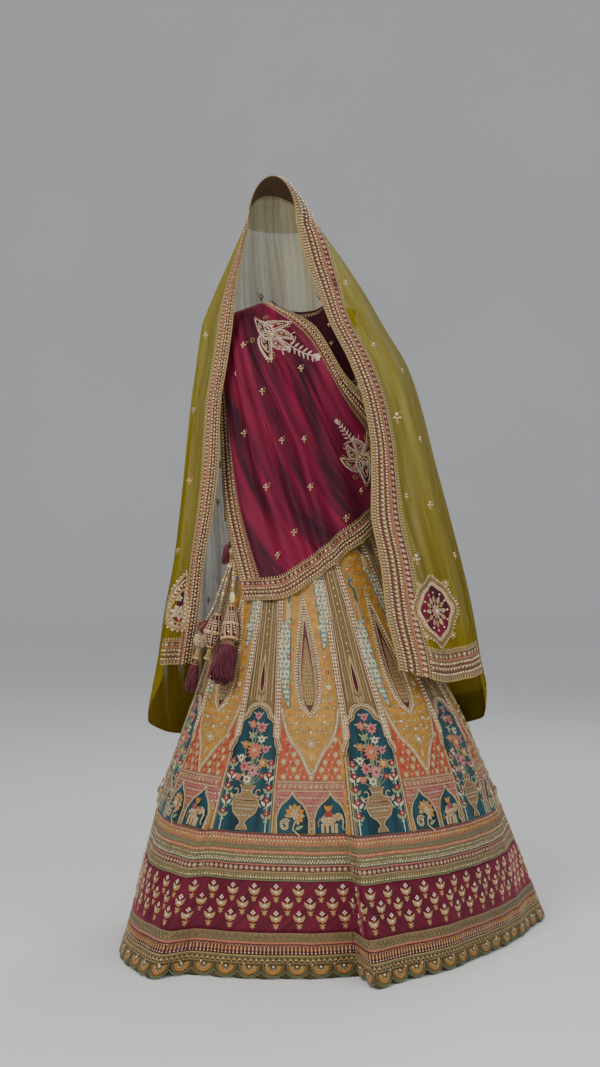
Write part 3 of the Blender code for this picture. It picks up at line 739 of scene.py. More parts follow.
    def leaf(self, root: Sequence[float], tip: Sequence[float], width: float, finish: Finish,
             lift: float = 0.0, fullness: float = 0.8) -> None:
        """Add a petal or leaf with a raised middle, from its root to its tip.

        Args:
            root: Where it starts.
            tip: Where it ends.
            width: The width in metres.
            finish: The finish it is worked in.
            lift: The height over the cloth in metres.
            fullness: Where it is widest, as a share of its length.
        """
        root, tip = np.asarray(root, float), np.asarray(tip, float)
        ahead = tip - root
        beside = np.array([-ahead[1], ahead[0]]) / max(np.linalg.norm(ahead), 1e-9)
        t, side = self.leaf_t, self.leaf_side
        half = width / 2 * np.sin(math.pi * t ** fullness) * side
        flat = root + ahead * t[:, None] + beside * half[:, None]
        rise = width * np.where(side == 0, 0.32 * np.sin(math.pi * np.clip(t, 0.08, 0.92)), 0.0)
        self.add(np.c_[flat, lift + rise], self.leaf_faces, np.c_[np.linalg.norm(ahead) * t, half], finish)

    def patch(self, low: Any, high: Any, finish: Finish, lift: float, rows: int = 6) -> None:
        """Add a flat patch between two lines of x and y, the low one under or left of the high one."""
        low, high = np.asarray(low, float), np.asarray(high, float)
        shares = np.linspace(0.0, 1.0, rows + 1)[:, None, None]
        flat = low[None] * (1 - shares) + high[None] * shares
        points = np.concatenate([flat, np.full(flat.shape[:2] + (1,), lift)], axis=2)
        self.grid(points, flat, finish)

    def flower(self, x: float, y: float, radius: float, petals: Finish, heart: Finish, count: int = 6,
               turn: float = 0.0, lift: float = 0.0) -> None:
        """Add a round flower with a bead at its heart.

        Args:
            x: Its middle across.
            y: Its middle up.
            radius: Its radius in metres.
            petals: The petals' finish.
            heart: The bead's finish.
            count: The number of petals.
            turn: The turn of the first petal in radians.
            lift: The height over the cloth in metres.
        """
        for k in range(count):
            a = turn + k * math.tau / count
            out = np.array([math.cos(a), math.sin(a)])
            self.leaf((x, y) + out * radius * 0.2, (x, y) + out * radius, radius * 4.2 / count, petals,
                      lift)
        self.beads([(x, y)], radius * 0.32, heart, 0.9, lift + radius * 0.08)

    def piece(self, name: str, slot: str, nodes: Sequence[str] = ()) -> bpy.types.Object:
        """Make the object and let it ride on the garment.

        Args:
            name: Its name.
            slot: The record's material slot that it belongs to. Not used.
            nodes: The CAD nodes that it stands for.

        Returns:
            The object.
        """
        kinds = list(dict.fromkeys(self.finishes))
        mesh = bpy.data.meshes.new(name)
        faces = np.concatenate(self.faces)
        mesh.from_pydata(np.concatenate(self.points).tolist(), [], faces.tolist())
        threads = mesh.uv_layers.new(name=THREAD_MAP)
        threads.data.foreach_set("uv", np.concatenate(self.threads)[faces.ravel()].ravel())
        kind = np.repeat([kinds.index(finish) for finish in self.finishes],
                         [len(block) for block in self.faces])
        mesh.polygons.foreach_set("material_index", kind.astype(np.int32))
        mesh.polygons.foreach_set("use_smooth", np.ones(len(faces), bool))
        for finish in kinds:
            mesh.materials.append(Wardrobe.material(finish))
        mesh.update()
        made = bpy.data.objects.new(name, mesh)
        bpy.context.scene.collection.objects.link(made)
        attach(made, "root")
        if nodes:
            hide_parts(*nodes)
        log.info("%s: %d triangles", name, len(faces))
        return made


def thicken(made: bpy.types.Object, thickness: float, offset: float = -1.0) -> None:
    """Give a shell the thickness of its cloth."""
    solid = made.modifiers.new("Cloth", "SOLIDIFY")
    solid.thickness = thickness
    solid.offset = offset


def shell(name: str, surface: Surface, us: Array, vs: Array, finish: Finish, slot: str,
          nodes: Sequence[str], thickness: float = 0.0012, closed: bool = False) -> bpy.types.Object:
    """Args:
        name: Its name.
        surface: The surface that it lies on.
        us: Its columns.
        vs: Its rows.
        finish: Its finish.
        slot: Its material slot.
        nodes: The CAD nodes that it stands for.
        thickness: Its cloth's thickness.
        closed: Whether it goes all round.

    Returns:
        The object.
    """
    u, v = np.meshgrid(us, vs)
    points = surface.place(u, v)
    thread, flat, area = cut_of(points)
    work = Work()
    work.grid(points, thread, finish, closed)
    made = work.piece(name, slot, nodes)
    thicken(made, thickness, -surface.side)
    return made


def cut_of(points: Array) -> tuple[Array, tuple[float, float], float]:
    """The flat cut of a grid of points.

    Args:
        points: The grid, row by row.

    Returns:
        Thread coordinates in metres, the cut's width and length, and its flat area.
    """
    across = np.linalg.norm(np.diff(points, axis=1), axis=2)
    along = np.linalg.norm(np.diff(points, axis=0), axis=2)
    x = np.concatenate([np.zeros((len(points), 1)), np.cumsum(across, axis=1)], axis=1)
    x -= x[:, -1:] / 2
    y = np.concatenate([np.zeros((1, points.shape[1])), np.cumsum(along, axis=0)])
    width, length = float(np.ptp(x, axis=1).max()), float(y[-1].max())
    a = np.cross(points[:-1, 1:] - points[:-1, :-1], points[1:, :-1] - points[:-1, :-1])
    b = np.cross(points[1:, :-1] - points[1:, 1:], points[:-1, 1:] - points[1:, 1:])
    area = float(np.linalg.norm(a, axis=2).sum() + np.linalg.norm(b, axis=2).sum()) / 2
    return np.stack([x, y], axis=2), (width, length), float(np.clip(area, 0.31 * width * length,
                                                                    width * length))


@dataclass(frozen=True)
class Skirt(Surface):
    """The skirt's flared sections, with folds that deepen towards the hem."""

    step = (0.4, 0.002)
    first_seam: float = 5.5
    repeats: int = 8
    pair: float = 45.0
    fold_top: float = 0.62
    hem_mean: float = 0.530
    sections: Table = Table("height centre_x half_width half_depth", [
        (0.00, 0.0965, 0.530, 0.530), (0.12, 0.088, 0.495, 0.490), (0.24, 0.080, 0.456, 0.455),
        (0.38, 0.072, 0.405, 0.400), (0.52, 0.065, 0.350, 0.340), (0.68, 0.048, 0.280, 0.270),
        (0.80, 0.035, 0.235, 0.220), (0.90, 0.022, 0.200, 0.180), (1.00, 0.010, 0.175, 0.145),
        (1.10, 0.003, 0.150, 0.118), (1.155, 0.000, 0.135, 0.105)])
    hem: Table = Table("azimuth reach", [
        (-180.0, 0.500), (-160.0, 0.540), (-140.0, 0.500), (-118.0, 0.545), (-98.0, 0.515),
        (-84.0, 0.525), (-68.0, 0.570), (-57.0, 0.609), (-41.0, 0.652), (-38.0, 0.571),
        (-20.0, 0.522), (-3.5, 0.482), (4.0, 0.466), (7.0, 0.580), (13.5, 0.537), (26.7, 0.490),
        (48.6, 0.440), (70.0, 0.445), (88.0, 0.480), (109.0, 0.561), (125.0, 0.530),
        (145.0, 0.500), (165.0, 0.545), (180.0, 0.500)])
    # Soft creases: azimuth at the hem, slant, height of the top, width and depth
    creases: tuple[tuple[float, float, float, float, float], ...] = (
        (-152.0, 5.0, 0.66, 4.0, 0.004), (-127.0, -4.0, 0.52, 5.0, -0.005), (-92.0, 3.0, 0.60, 3.5, 0.004),
        (-73.0, 4.0, 0.48, 4.0, -0.005), (-49.0, 6.0, 0.74, 3.2, -0.006), (-29.5, -3.0, 0.50, 3.0, 0.004),
        (-14.0, 2.0, 0.36, 3.4, -0.004), (-8.0, 4.0, 0.55, 2.4, 0.003), (19.0, -5.0, 0.58, 3.0, -0.005),
        (35.0, 4.0, 0.45, 3.8, 0.004), (58.0, 6.0, 0.68, 4.4, -0.005), (79.0, -3.0, 0.40, 3.6, 0.004),
        (98.0, 5.0, 0.62, 4.0, 0.004), (117.0, -6.0, 0.55, 3.6, -0.005), (138.0, 4.0, 0.70, 4.6, 0.004),
        (171.0, -4.0, 0.50, 4.0, -0.005))

    def point(self, u: Array, v: Array) -> Array:
        """The points at azimuths u and heights v.

        Args:
            u: The cloth's first coordinate.
            v: The cloth's second coordinate.

        Returns:
            The places, one row each.
        """
        a = np.radians(u)
        wide, deep = self.sections("half_width", v), self.sections("half_depth", v)
        base = 1.0 / np.hypot(np.sin(a) / wide, np.cos(a) / deep)
        grow = np.maximum(0.0, 1.0 - v / self.fold_top) ** 1.5
        round_u = (u + 180.0) % 360.0 - 180.0
        reach = base * (1.0 + grow * (self.hem("reach", round_u) / self.hem_mean - 1.0))
        for azimuth, slant, top, width, depth in self.creases:
            apart = (u - azimuth - slant * v + 180.0) % 360.0 - 180.0
            reach = reach + depth * np.exp(-(apart / width) ** 2) * ease((top - v) / 0.25)
        return np.stack([self.sections("centre_x", v) + reach * np.sin(a), -reach * np.cos(a),
                         v - WAIST_HEIGHT], axis=-1)

    def radius(self, height: Any) -> Array:
        """The mean radius at a height."""
        return (self.sections("half_width", height) + self.sections("half_depth", height)) / 2


SKIRT = Skirt()


@dataclass(frozen=True)
class Gore:
    """One gore's place on the skirt: half of its width is a fixed angle."""

    centre: float
    half_angle: float
    low: float = 0.310
    high: float = 1.120

    def half_width(self, height: Any) -> Array:
        """Half of the gore's width at a height, in metres."""
        return SKIRT.radius(height) * math.radians(self.half_angle)

    def seat(self, x: Array, y: Array, z: Array) -> Array:
        """The places of a flat pattern whose x is from the gore's middle and y is a height."""
        return SKIRT.place(self.centre + x / self.half_width(y) * self.half_angle, y, z)


class Choli(Surface):
    """The front or the back of the choli: u runs -1 to 1 across, v 0 to 1 up."""

    step = (0.01, 0.01)
    hem = 1.235
    armpit = 1.400
    peak = 1.5925
    slope = 0.34
    body = Table("height half_width half_depth", [
        (1.235, 0.126, 0.094), (1.300, 0.132, 0.100), (1.370, 0.145, 0.112), (1.400, 0.148, 0.108)])
    edge = Table("across half_width front back", [
        (0.00, 0.000, 1.528, 1.548), (0.25, 0.034, 1.534, 1.551), (0.42, 0.058, 1.552, 1.562),
        (0.50, 0.067, 1.571, 1.571), (0.66, 0.112, 1.5545, 1.5545), (0.74, 0.138, 1.5445, 1.5445),
        (0.84, 0.129, 1.500, 1.500), (0.92, 0.132, 1.448, 1.448), (1.00, 0.148, 1.400, 1.400)])

    def __init__(self, front: bool) -> None:
        """Choose the front or the back."""
        self.out = -1.0 if front else 1.0
        self.side = 1.0 if front else -1.0
        self.column = "front" if front else "back"

    def point(self, u: Array, v: Array) -> Array:
        """The points at u and v.

        Args:
            u: The cloth's first coordinate.
            v: The cloth's second coordinate.

        Returns:
            The places, one row each.
        """
        share = np.minimum(np.abs(u), 1.0)
        height = self.hem + (self.edge(self.column, share) - self.hem) * v
        body = np.minimum(height, self.armpit)
        wide = self.body("half_width", body)
        lift = ease((height - 1.30) / 0.20)
        edge_x = np.minimum(self.edge("half_width", share), wide)
        x = np.minimum(wide * np.sin(share * math.pi / 2) * (1 - lift) + edge_x * lift, wide)
        deep = self.body("half_depth", body) * np.sqrt(np.maximum(0.0, 1.0 - (x / wide) ** 2))
        ridge = self.peak - self.slope * x
        rise = np.clip((height - self.armpit) / (ridge - self.armpit), 0.0, 1.0)
        deep = deep * np.sqrt(np.maximum(0.0, 1.0 - rise ** 1.6))
        return np.stack([np.copysign(x, u), self.out * (deep + 0.0003), height - WAIST_HEIGHT], axis=-1)


class Drape(Surface):
    """The room that the velvet dupatta hangs round, from the shoulder down to the skirt."""

    side = -1.0
    step = (0.006, 0.006)
    shoulder_top = 1.5685
    shoulder_drop = 0.36
    neck_side = 0.085
    ridge_gap = 0.0013
    end_border = 0.935
    wrap_from = 0.84
    room = Table("height centre_x half_width half_depth", [
        (0.800, 0.035, 0.2452, 0.2302), (0.900, 0.022, 0.2102, 0.1902), (1.000, 0.010, 0.196, 0.160),
        (1.100, 0.003, 0.193, 0.142), (1.180, 0.000, 0.190, 0.140), (1.280, 0.000, 0.191, 0.142),
        (1.360, 0.000, 0.195, 0.144), (1.420, 0.000, 0.197, 0.138), (1.490, 0.000, 0.197, 0.114),
        (1.530, 0.000, 0.195, 0.088), (1.5515, 0.000, 0.192, 0.056), (1.5645, 0.000, 0.190, 0.022),
        (1.5685, 0.000, 0.189, 0.0003)])
    # Rays fan out from the shoulder, each through four stations
    rays = Table("across azimuth_0 height_0 azimuth_1 height_1 azimuth_2 height_2 azimuth_3 height_3", [
        (0.00, -77, 1.5685, -85, 1.330, -74, 1.080, -44, 0.830),
        (0.20, -67, 1.5685, -60, 1.345, -42, 1.085, -20, 0.836),
        (0.40, -57, 1.5685, -42, 1.370, -16, 1.115, 2, 0.880),
        (0.60, -47, 1.5685, -25, 1.405, 6, 1.165, 22, 0.928),
        (0.75, -39, 1.5685, -11, 1.440, 22, 1.225, 54, 0.989),
        (0.84, -35, 1.5685, -4, 1.465, 30, 1.270, 96, 1.040),
        (1.00, -27, 1.5685, 8, 1.505, 38, 1.365, 100, 1.270)])
    folds = 7
    fold_depth = Table("along depth", [
        (0.0, 0.002), (0.10, 0.004), (0.20, 0.006), (0.5, 0.009), (0.93, 0.007), (1.0, 0.006)])

    def hang(self, azimuth: Array, height: Array, lift: Array) -> Array:
        """The room's surface, moved out by lift.

        Args:
            azimuth: Azimuths in degrees.
            height: Heights above the hem in metres.
            lift: The height over the cloth in metres.

        Returns:
            The places, one row each.
        """
        a = np.radians(azimuth)
        x = self.room("centre_x", height) + (self.room("half_width", height) + lift) * np.sin(a)
        drop = (self.shoulder_drop * np.maximum(0.0, np.abs(x) - self.neck_side)
                * ease((height - 1.40) / 0.12))
        apart = np.copysign(self.ridge_gap, np.cos(a)) * ease(1.0 - (self.shoulder_top - height) / 0.02)
        y = -(self.room("half_depth", height) + lift) * np.cos(a) - apart
        return np.stack([x, y, height - drop - WAIST_HEIGHT], axis=-1)

    def fold(self, across: Array, along: Array) -> Array:
        """How far the folds stand out, with finer pulls between the main ones."""
        uneven = across + 0.018 * np.sin(11.0 * across + 1.0)
        main = np.sin(math.tau * self.folds * uneven + 0.9 * along)
        fine = np.sin(math.tau * 19.0 * (across + 0.03 * np.sin(7.0 * across)) - 2.0 * along)
        reach = ease(along / 0.2) * ease((0.9 - along) / 0.5)
        return self.fold_depth("depth", along) * main + 0.0016 * fine * reach

    def ray(self, across: Array, along: Array) -> list[Array]:
        """The azimuth and height of a point of the front, along its ray.

        Args:
            across: Shares across.
            along: Shares along.

        Returns:
            The azimuths and the heights.
        """
        values = []
        for kind in ("azimuth", "height"):
            stations = np.stack([self.rays(f"{kind}_{n}", across) for n in range(4)], axis=-1)
            slopes = Table.tangents(np.arange(4) / 3.0, stations)
            t = np.clip(along, 0.0, 1.0) * 3.0
            n = np.minimum(t.astype(int), 2)[..., None]
            take = [np.take_along_axis(block, m, -1)[..., 0] for block, m in
                    ((stations, n), (slopes / 3.0, n), (stations, n + 1), (slopes / 3.0, n + 1))]
            values.append(hermite(t - n[..., 0], *take))
        return values

    def point(self, u: Array, v: Array) -> Array:
        """The front stretch at u across and v along."""
        azimuth, height = self.ray(u, v)
        near_top = ease((self.shoulder_top - height) / 0.02)
        return self.hang(azimuth, height, self.fold(u, v) * near_top)


class DrapeWrap(Drape):
    """The stretch under the wearer's left arm, from the front round to the back."""

    def point(self, u: Array, v: Array) -> Array:
        """The wrap at u across and v along."""
        azimuth, height = self.ray(u, np.full_like(u, self.end_border))
        share = (u - self.wrap_from) / (1.0 - self.wrap_from)
        azimuth = azimuth + (172.0 - azimuth) * v
        height = height + (1.10 + 0.11 * share - height) * ease(v)
        return self.hang(azimuth, height, self.fold(u, np.full_like(u, self.end_border)) * (1.0 - v))


class DrapeBack(Drape):
    """The stretch over the shoulder and down the back."""

    side = 1.0

    def point(self, u: Array, v: Array) -> Array:
        """The back stretch at u across and v along."""
        start, end = -180.0 - self.rays("azimuth_0", u), -104.0 - 62.0 * u
        height = self.shoulder_top - (self.shoulder_top - 1.02) * np.maximum(v, 0.0) ** 1.3
        azimuth = start + (end - start) * ease(v)
        near_top = ease((self.shoulder_top - height) / 0.02)
        return self.hang(azimuth, height, self.fold(u, v * 0.6) * near_top)


class Veil(Surface):
    """One part of the net veil: u from its low to its high side, v from the head down."""

    step = (0.01, 0.004)
    hood_height = 1.75
    hood_side_y = -0.03
    waves = 2.2
    form = Table("height left_edge_x left_edge_y left_side right_side right_edge_x right_edge_y back fold", [
        (0.40, -0.285, -0.060, -0.350, 0.440, 0.245, -0.285, 0.430, 0.012),
        (0.53, -0.280, -0.065, -0.373, 0.462, 0.240, -0.280, 0.3514, 0.012),
        (0.60, -0.275, -0.070, -0.362, 0.466, 0.238, -0.280, 0.3159, 0.012),
        (0.67, -0.268, -0.070, -0.350, 0.452, 0.235, -0.275, 0.2859, 0.011),
        (0.80, -0.248, -0.085, -0.333, 0.4285, 0.206, -0.262, 0.2414, 0.010),
        (0.92, -0.236, -0.100, -0.312, 0.400, 0.192, -0.245, 0.235, 0.009),
        (1.05, -0.212, -0.110, -0.298, 0.365, 0.170, -0.220, 0.205, 0.008),
        (1.18, -0.198, -0.115, -0.285, 0.330, 0.171, -0.205, 0.190, 0.007),
        (1.30, -0.1945, -0.115, -0.272, 0.300, 0.155, -0.190, 0.185, 0.006),
        (1.40, -0.179, -0.110, -0.259, 0.267, 0.121, -0.175, 0.178, 0.005),
        (1.50, -0.165, -0.100, -0.245, 0.209, 0.0725, -0.150, 0.158, 0.004),
        (1.58, -0.158, -0.090, -0.214, 0.163, 0.0433, -0.120, 0.130, 0.003),
        (1.65, -0.146, -0.078, -0.182, 0.117, 0.017, -0.105, 0.112, 0.002),
        (1.75, -0.127, -0.060, -0.136, 0.045, -0.008, -0.090, 0.090, 0.001)])
    end = Table("across height", [
        (-1.0, 0.668), (-0.2, 0.662), (0.0, 0.535), (0.25, 0.470), (1.0, 0.420), (1.7, 0.490),
        (2.0, 0.560), (2.1, 0.660), (2.6, 0.640), (3.0, 0.672)])
    net = Table("height left right", [
        (0.60, 0.76, 0.79), (1.50, 0.74, 0.76), (1.65, 0.66, 0.55), (1.75, 0.60, 0.25)])

    def __init__(self, low: float | str, high: float | str) -> None:
        """Choose the sides, by number or by the name of the border that starts there."""
        self.low, self.high = low, high

    def across(self, share: Array, height: Array) -> Array:
        """Where a share of the part's width lies, from -1 at the left edge to 3 at the right."""
        edges = {"left": -self.net("left", height), "right": 2.0 + self.net("right", height)}
        low, high = (edges.get(side, side) for side in (self.low, self.high))
        return low + (high - low) * share

    def hang(self, across: Array, height: Array) -> Array:
        """The veil below the head.

        Args:
            across: The sides, from -1 at the left edge to 3 at the right.
            height: Heights above the hem in metres.

        Returns:
            The places, one row each.
        """
        form = {name: self.form(name, height) for name in self.form.values}
        side_y = self.hood_side_y * ease((height - 1.50) / (self.hood_height - 1.50))
        left, right = form["left_side"], form["right_side"]
        front_left, front_right = across < 0, across > 2
        a = np.where(front_left, -across, np.where(front_right, across - 2, across)) * math.pi / 2
        turn = 1 - np.cos(a)
        x = np.where(front_left, left + (form["left_edge_x"] - left) * turn,
                     np.where(front_right, right + (form["right_edge_x"] - right) * turn,
                              left + (right - left) / 2 * turn))
        reach_y = np.where(front_left, form["left_edge_y"],
                           np.where(front_right, form["right_edge_y"], form["back"]))
        y = side_y + (reach_y - side_y) * np.sin(a)
        out_x = np.where(front_right, np.cos(a), -np.cos(a))
        out_y = np.where(front_left | front_right, -np.sin(a), np.sin(a))
        wave = form["fold"] * (np.sin(math.tau * self.waves * across + 0.8 * np.sin(3.0 * height))
                               + 0.16 * np.sin(math.tau * 7.3 * across - 4.0 * height))
        return np.stack([x + out_x * wave, y + out_y * wave, height - WAIST_HEIGHT], axis=-1)

    def point(self, u: Array, v: Array) -> Array:
        """The points at u and v."""
        height = np.full_like(u, self.hood_height)
        for _ in range(3):
            bottom = self.end("height", self.across(u, height))
            height = self.hood_height + (bottom - self.hood_height) * v
        return self.hang(self.across(u, height), height)


class Hood(Veil):
    """The veil over the head: u runs 0 to 2 from side to side, v from the back up to the brow."""

    side = -1.0
    step = (0.01, 0.01)
    rise = 0.116
    lean = 104.0
    forward = 0.10

    def __init__(self) -> None:
        """Take both sides of the veil."""
        super().__init__(0.0, 2.0)

    def point(self, u: Array, v: Array) -> Array:
        """The points at u and v; v is 1 where the brow's border starts and 2 at its edge.

        Args:
            u: The cloth's first coordinate.
            v: The cloth's second coordinate.

        Returns:
            The places, one row each.
        """
        left_net, right_net = self.net("left", self.hood_height), self.net("right", self.hood_height)
        start = left_net + (right_net - left_net) * ease(u / 2)
        up = start * np.minimum(v, 1.0) + (1.0 - start) * np.maximum(v - 1.0, 0.0)
        a, lean = np.radians(u * 90.0), np.radians(up * self.lean)
        top = np.full_like(up, self.hood_height)
        left, right = self.hang(-up, top), self.hang(2.0 + up, top)
        back = self.form("back", self.hood_height) - self.hood_side_y
        reach = np.where(np.cos(lean) > 0, back, self.forward) * np.cos(lean)
        share = ((1 - np.cos(a)) / 2)[..., None]
        arch = np.stack([np.zeros_like(reach), reach, self.rise * np.sin(lean)], axis=-1)
        return left * (1 - share) + right * share + arch * np.sin(a)[..., None]


class Strip:
    """A border's place on a surface, between an inner and an outer line; x is along it and y out."""

    samples = 400

    def __init__(self, surface: Surface, inner: Callable[[Array], tuple[Array, Array]],
                 outer: Callable[[Array], tuple[Array, Array]], width: float) -> None:
        """Measure the strip's length along its middle.

        Args:
            surface: The cloth.
            inner: The inner line's u and v at shares of its length.
            outer: The outer line's.
            width: The border's width in its own pattern.
        """
        self.surface, self.inner, self.outer, self.width = surface, inner, outer, width
        self.shares = np.linspace(0.0, 1.0, self.samples)
        middle = surface.point(*self.between(self.shares, 0.5))
        self.run = np.r_[0.0, np.cumsum(np.linalg.norm(np.diff(middle, axis=0), axis=1))]
        self.length = float(self.run[-1])

    def between(self, share: Array, out: Any) -> tuple[Array, Array]:
        """The u and v at a share of the length and a share of the way out."""
        (u0, v0), (u1, v1) = self.inner(share), self.outer(share)
        return u0 + (u1 - u0) * out, v0 + (v1 - v0) * out

    def seat(self, x: Array, y: Array, z: Array) -> Array:
        """The places of a flat pattern."""
        share = np.interp(x, self.run, self.shares)
        u, v = self.between(share, y / self.width)
        return self.surface.place(u, v, z)


class Band(Work):
    """Rows of embroidery along a border, from y = 0 at its inner line to its width."""

    def __init__(self, strip: Strip, step: float = 0.009) -> None:
        """Start a band as long as its strip."""
        super().__init__()
        self.strip, self.length = strip, strip.length
        self.xs = np.linspace(0.0, self.length, max(8, int(self.length / step)))

    def places(self, y: float, pitch: float, start: float = 0.5) -> Array:
        """Even places along the band, about one pitch apart."""
        count = max(1, round(self.length / pitch))
        return np.c_[(np.arange(count) + start) * self.length / count, np.full(count, y)]

    def ground(self, low: float, high: float, finish: Finish, lift: float = 0.0003) -> "Band":
        """A flat ground between two heights."""
        self.patch(np.c_[self.xs, np.full_like(self.xs, low)], np.c_[self.xs, np.full_like(self.xs, high)],
                   finish, lift, max(1, round((high - low) / GROUND_PITCH)))
        return self

    def line(self, y: float, width: float, finish: Finish, lift: float = 0.0004) -> "Band":
        """A straight cord."""
        self.cord(np.c_[self.xs, np.full_like(self.xs, y)], width, finish, lift)
        return self

    def row(self, y: float, pitch: float, radius: float, finish: Finish, lift: float = 0.0004,
            start: float = 0.5, sides: int = 6) -> "Band":
        """A row of beads."""
        self.beads(self.places(y, pitch, start), radius, finish, 0.8, lift, sides)
        return self

    def zigzag(self, low: float, high: float, pitch: float, width: float, finish: Finish,
               lift: float = 0.0005) -> "Band":
        """A cord that goes to and fro between two heights.

        Args:
            low: The lower height in metres.
            high: The upper height in metres.
            pitch: The metres from turn to turn.
            width: The cord's width in metres.
            finish: The finish it is worked in.
            lift: The height over the cloth in metres.

        Returns:
            This band.
        """
        count = max(2, round(self.length / pitch)) * 4
        x = np.linspace(0.0, self.length, count + 1)
        swing = np.sin(np.arange(count + 1) * math.pi / 2)
        self.cord(np.c_[x, (low + high) / 2 + swing * (high - low) / 2], width, finish, lift)
        return self

    def leaves(self, low: float, high: float, pitch: float, width: float, finish: Finish,
               slant: float = 0.0, lift: float = 0.0004, start: float = 0.5) -> "Band":
        """A row of leaves or spikes that point out, leaning along by slant."""
        one = Work()
        one.leaf((0.0, 0.0), (slant, high - low), width, finish, lift)
        return self.motifs(one, low, pitch, start)

    def motifs(self, motif: Work, y: float, pitch: float, start: float = 0.5) -> "Band":
        """A motif at even places; its own origin goes on y."""
        for x, at in self.places(y, pitch, start):
            self.extend(motif, x, at)
        return self

    def laid(self) -> Work:
        """The band laid on its cloth."""
        return self.moved(self.strip.seat)


def rosette(radius: float, petals: Finish, heart: Finish, count: int = 6) -> Work:
    """A round flower as a motif."""
    made = Work()
    made.flower(0.0, 0.0, radius, petals, heart, count)
    return made


def drop(length: float, width: float, finish: Finish, lift: float, rows: int = 6) -> tuple[Work, Array]:
    """A teardrop that hangs with its point up, its round end at the origin.

    Args:
        length: The length in metres.
        width: The width in metres.
        finish: The finish it is worked in.
        lift: The height over the cloth in metres.
        rows: The number of rows inside it.

    Returns:
        The filled drop and its outline.
    """
    t = np.linspace(0.0, 1.0, 15)
    half = width / 2 * np.sin(math.pi * t ** 0.62) ** 0.9 * (1.0 - 0.25 * t)
    half[-1] = 0.0
    made = Work()
    made.patch(np.c_[-half, t * length], np.c_[half, t * length], finish, lift, rows)
    outline = np.concatenate([np.c_[-half, t * length][::-1], np.c_[half, t * length]])
    return made, outline


def curl(x: float, y: float, radius: float, start: float, turns: float, shrink: float = 0.25,
         points: int = 14) -> Array:
    """A spiral line round x and y, from an angle in degrees inward through so many turns."""
    t = np.linspace(0.0, 1.0, points)
    a = math.radians(start) + t * turns * math.tau
    r = radius * (1.0 - (1.0 - shrink) * t)
    return np.c_[x + r * np.cos(a), y + r * np.sin(a)]


def spaced(line: Array, pitch: float) -> Array:
    """Even places along a line of x and y."""
    run = np.r_[0.0, np.cumsum(np.linalg.norm(np.diff(line, axis=0), axis=1))]
    at = np.linspace(0.0, run[-1], max(2, round(run[-1] / pitch) + 1))
    return np.c_[np.interp(at, run, line[:, 0]), np.interp(at, run, line[:, 1])]


def paisley_line(size: float) -> Array:
    """The outline of a paisley about one size tall."""
    a = np.linspace(0.0, math.tau, 25) - math.pi / 2
    bend = np.clip(np.sin(a) * 0.5 + 0.5, 0.0, 1.0)
    return np.c_[0.34 * np.cos(a) * (1 - 0.55 * bend) + 0.26 * bend ** 3,
                 0.42 * np.sin(a) + 0.16 * bend ** 3] * size


def open_paisley(size: float, edge: Finish, fill: Finish, beads: Finish) -> Work:
    """A paisley of fine cords alone, the cloth showing between them.

    Args:
        size: The height in metres.
        edge: The finish of the outline.
        fill: The finish inside it.
        beads: The finish of the beads.

    Returns:
        The flat work, ready to be moved to its place.
    """
    out = paisley_line(size)
    middle = np.array([0.0, -0.10 * size])
    made = Work()
    made.cord(out, 0.0032, edge, 0.0005)
    made.cord(middle + (out - middle) * 0.66, 0.0022, edge, 0.0005)
    made.beads(spaced(out * 1.16, 0.0058), 0.0016, beads, 0.8, 0.0004, 5)
    made.cord(curl(middle[0], middle[1], 0.12 * size, 90.0, 1.3, 0.2, 12), 0.0017, edge, 0.0005)
    made.leaf((0.02 * size, 0.06 * size), (0.10 * size, 0.30 * size), 0.10 * size, fill, 0.0005)
    made.beads([(middle[0], middle[1])], 0.0021, beads, 0.8, 0.0006, 6)
    return made


def paisley(size: float, ground: Finish, edge: Finish, fill: Finish, beads: Finish) -> Work:
    """A paisley about one size tall, its tip curling over to the right, with rows inside it.

    Args:
        size: The height in metres.
        ground: The finish of the ground.
        edge: The finish of the outline.
        fill: The finish inside it.
        beads: The finish of the beads.

    Returns:
        The flat work, ready to be moved to its place.
    """
    out = paisley_line(size)
    middle = np.array([0.0, -0.10 * size])
    made = Work()
    half = len(out) // 2
    made.patch(out[:half + 1], out[half:][::-1], ground, 0.0004, 5)
    for share, width, finish in ((1.0, 0.055, edge), (0.84, 0.035, fill), (0.60, 0.045, edge)):
        made.cord(middle + (out - middle) * share, width * size, finish, 0.0006)
    made.beads(spaced(middle + (out - middle) * 0.72, 0.075 * size), 0.030 * size, beads, 0.8, 0.0008)
    made.beads(spaced(out * 1.08, 0.085 * size), 0.028 * size, beads, 0.8, 0.0004)
    made.flower(middle[0], middle[1], 0.15 * size, fill, beads, 7, 0.0, 0.0008)
    made.flower(0.05 * size, 0.16 * size, 0.07 * size, fill, beads, 5, 0.0, 0.0008)
    return made


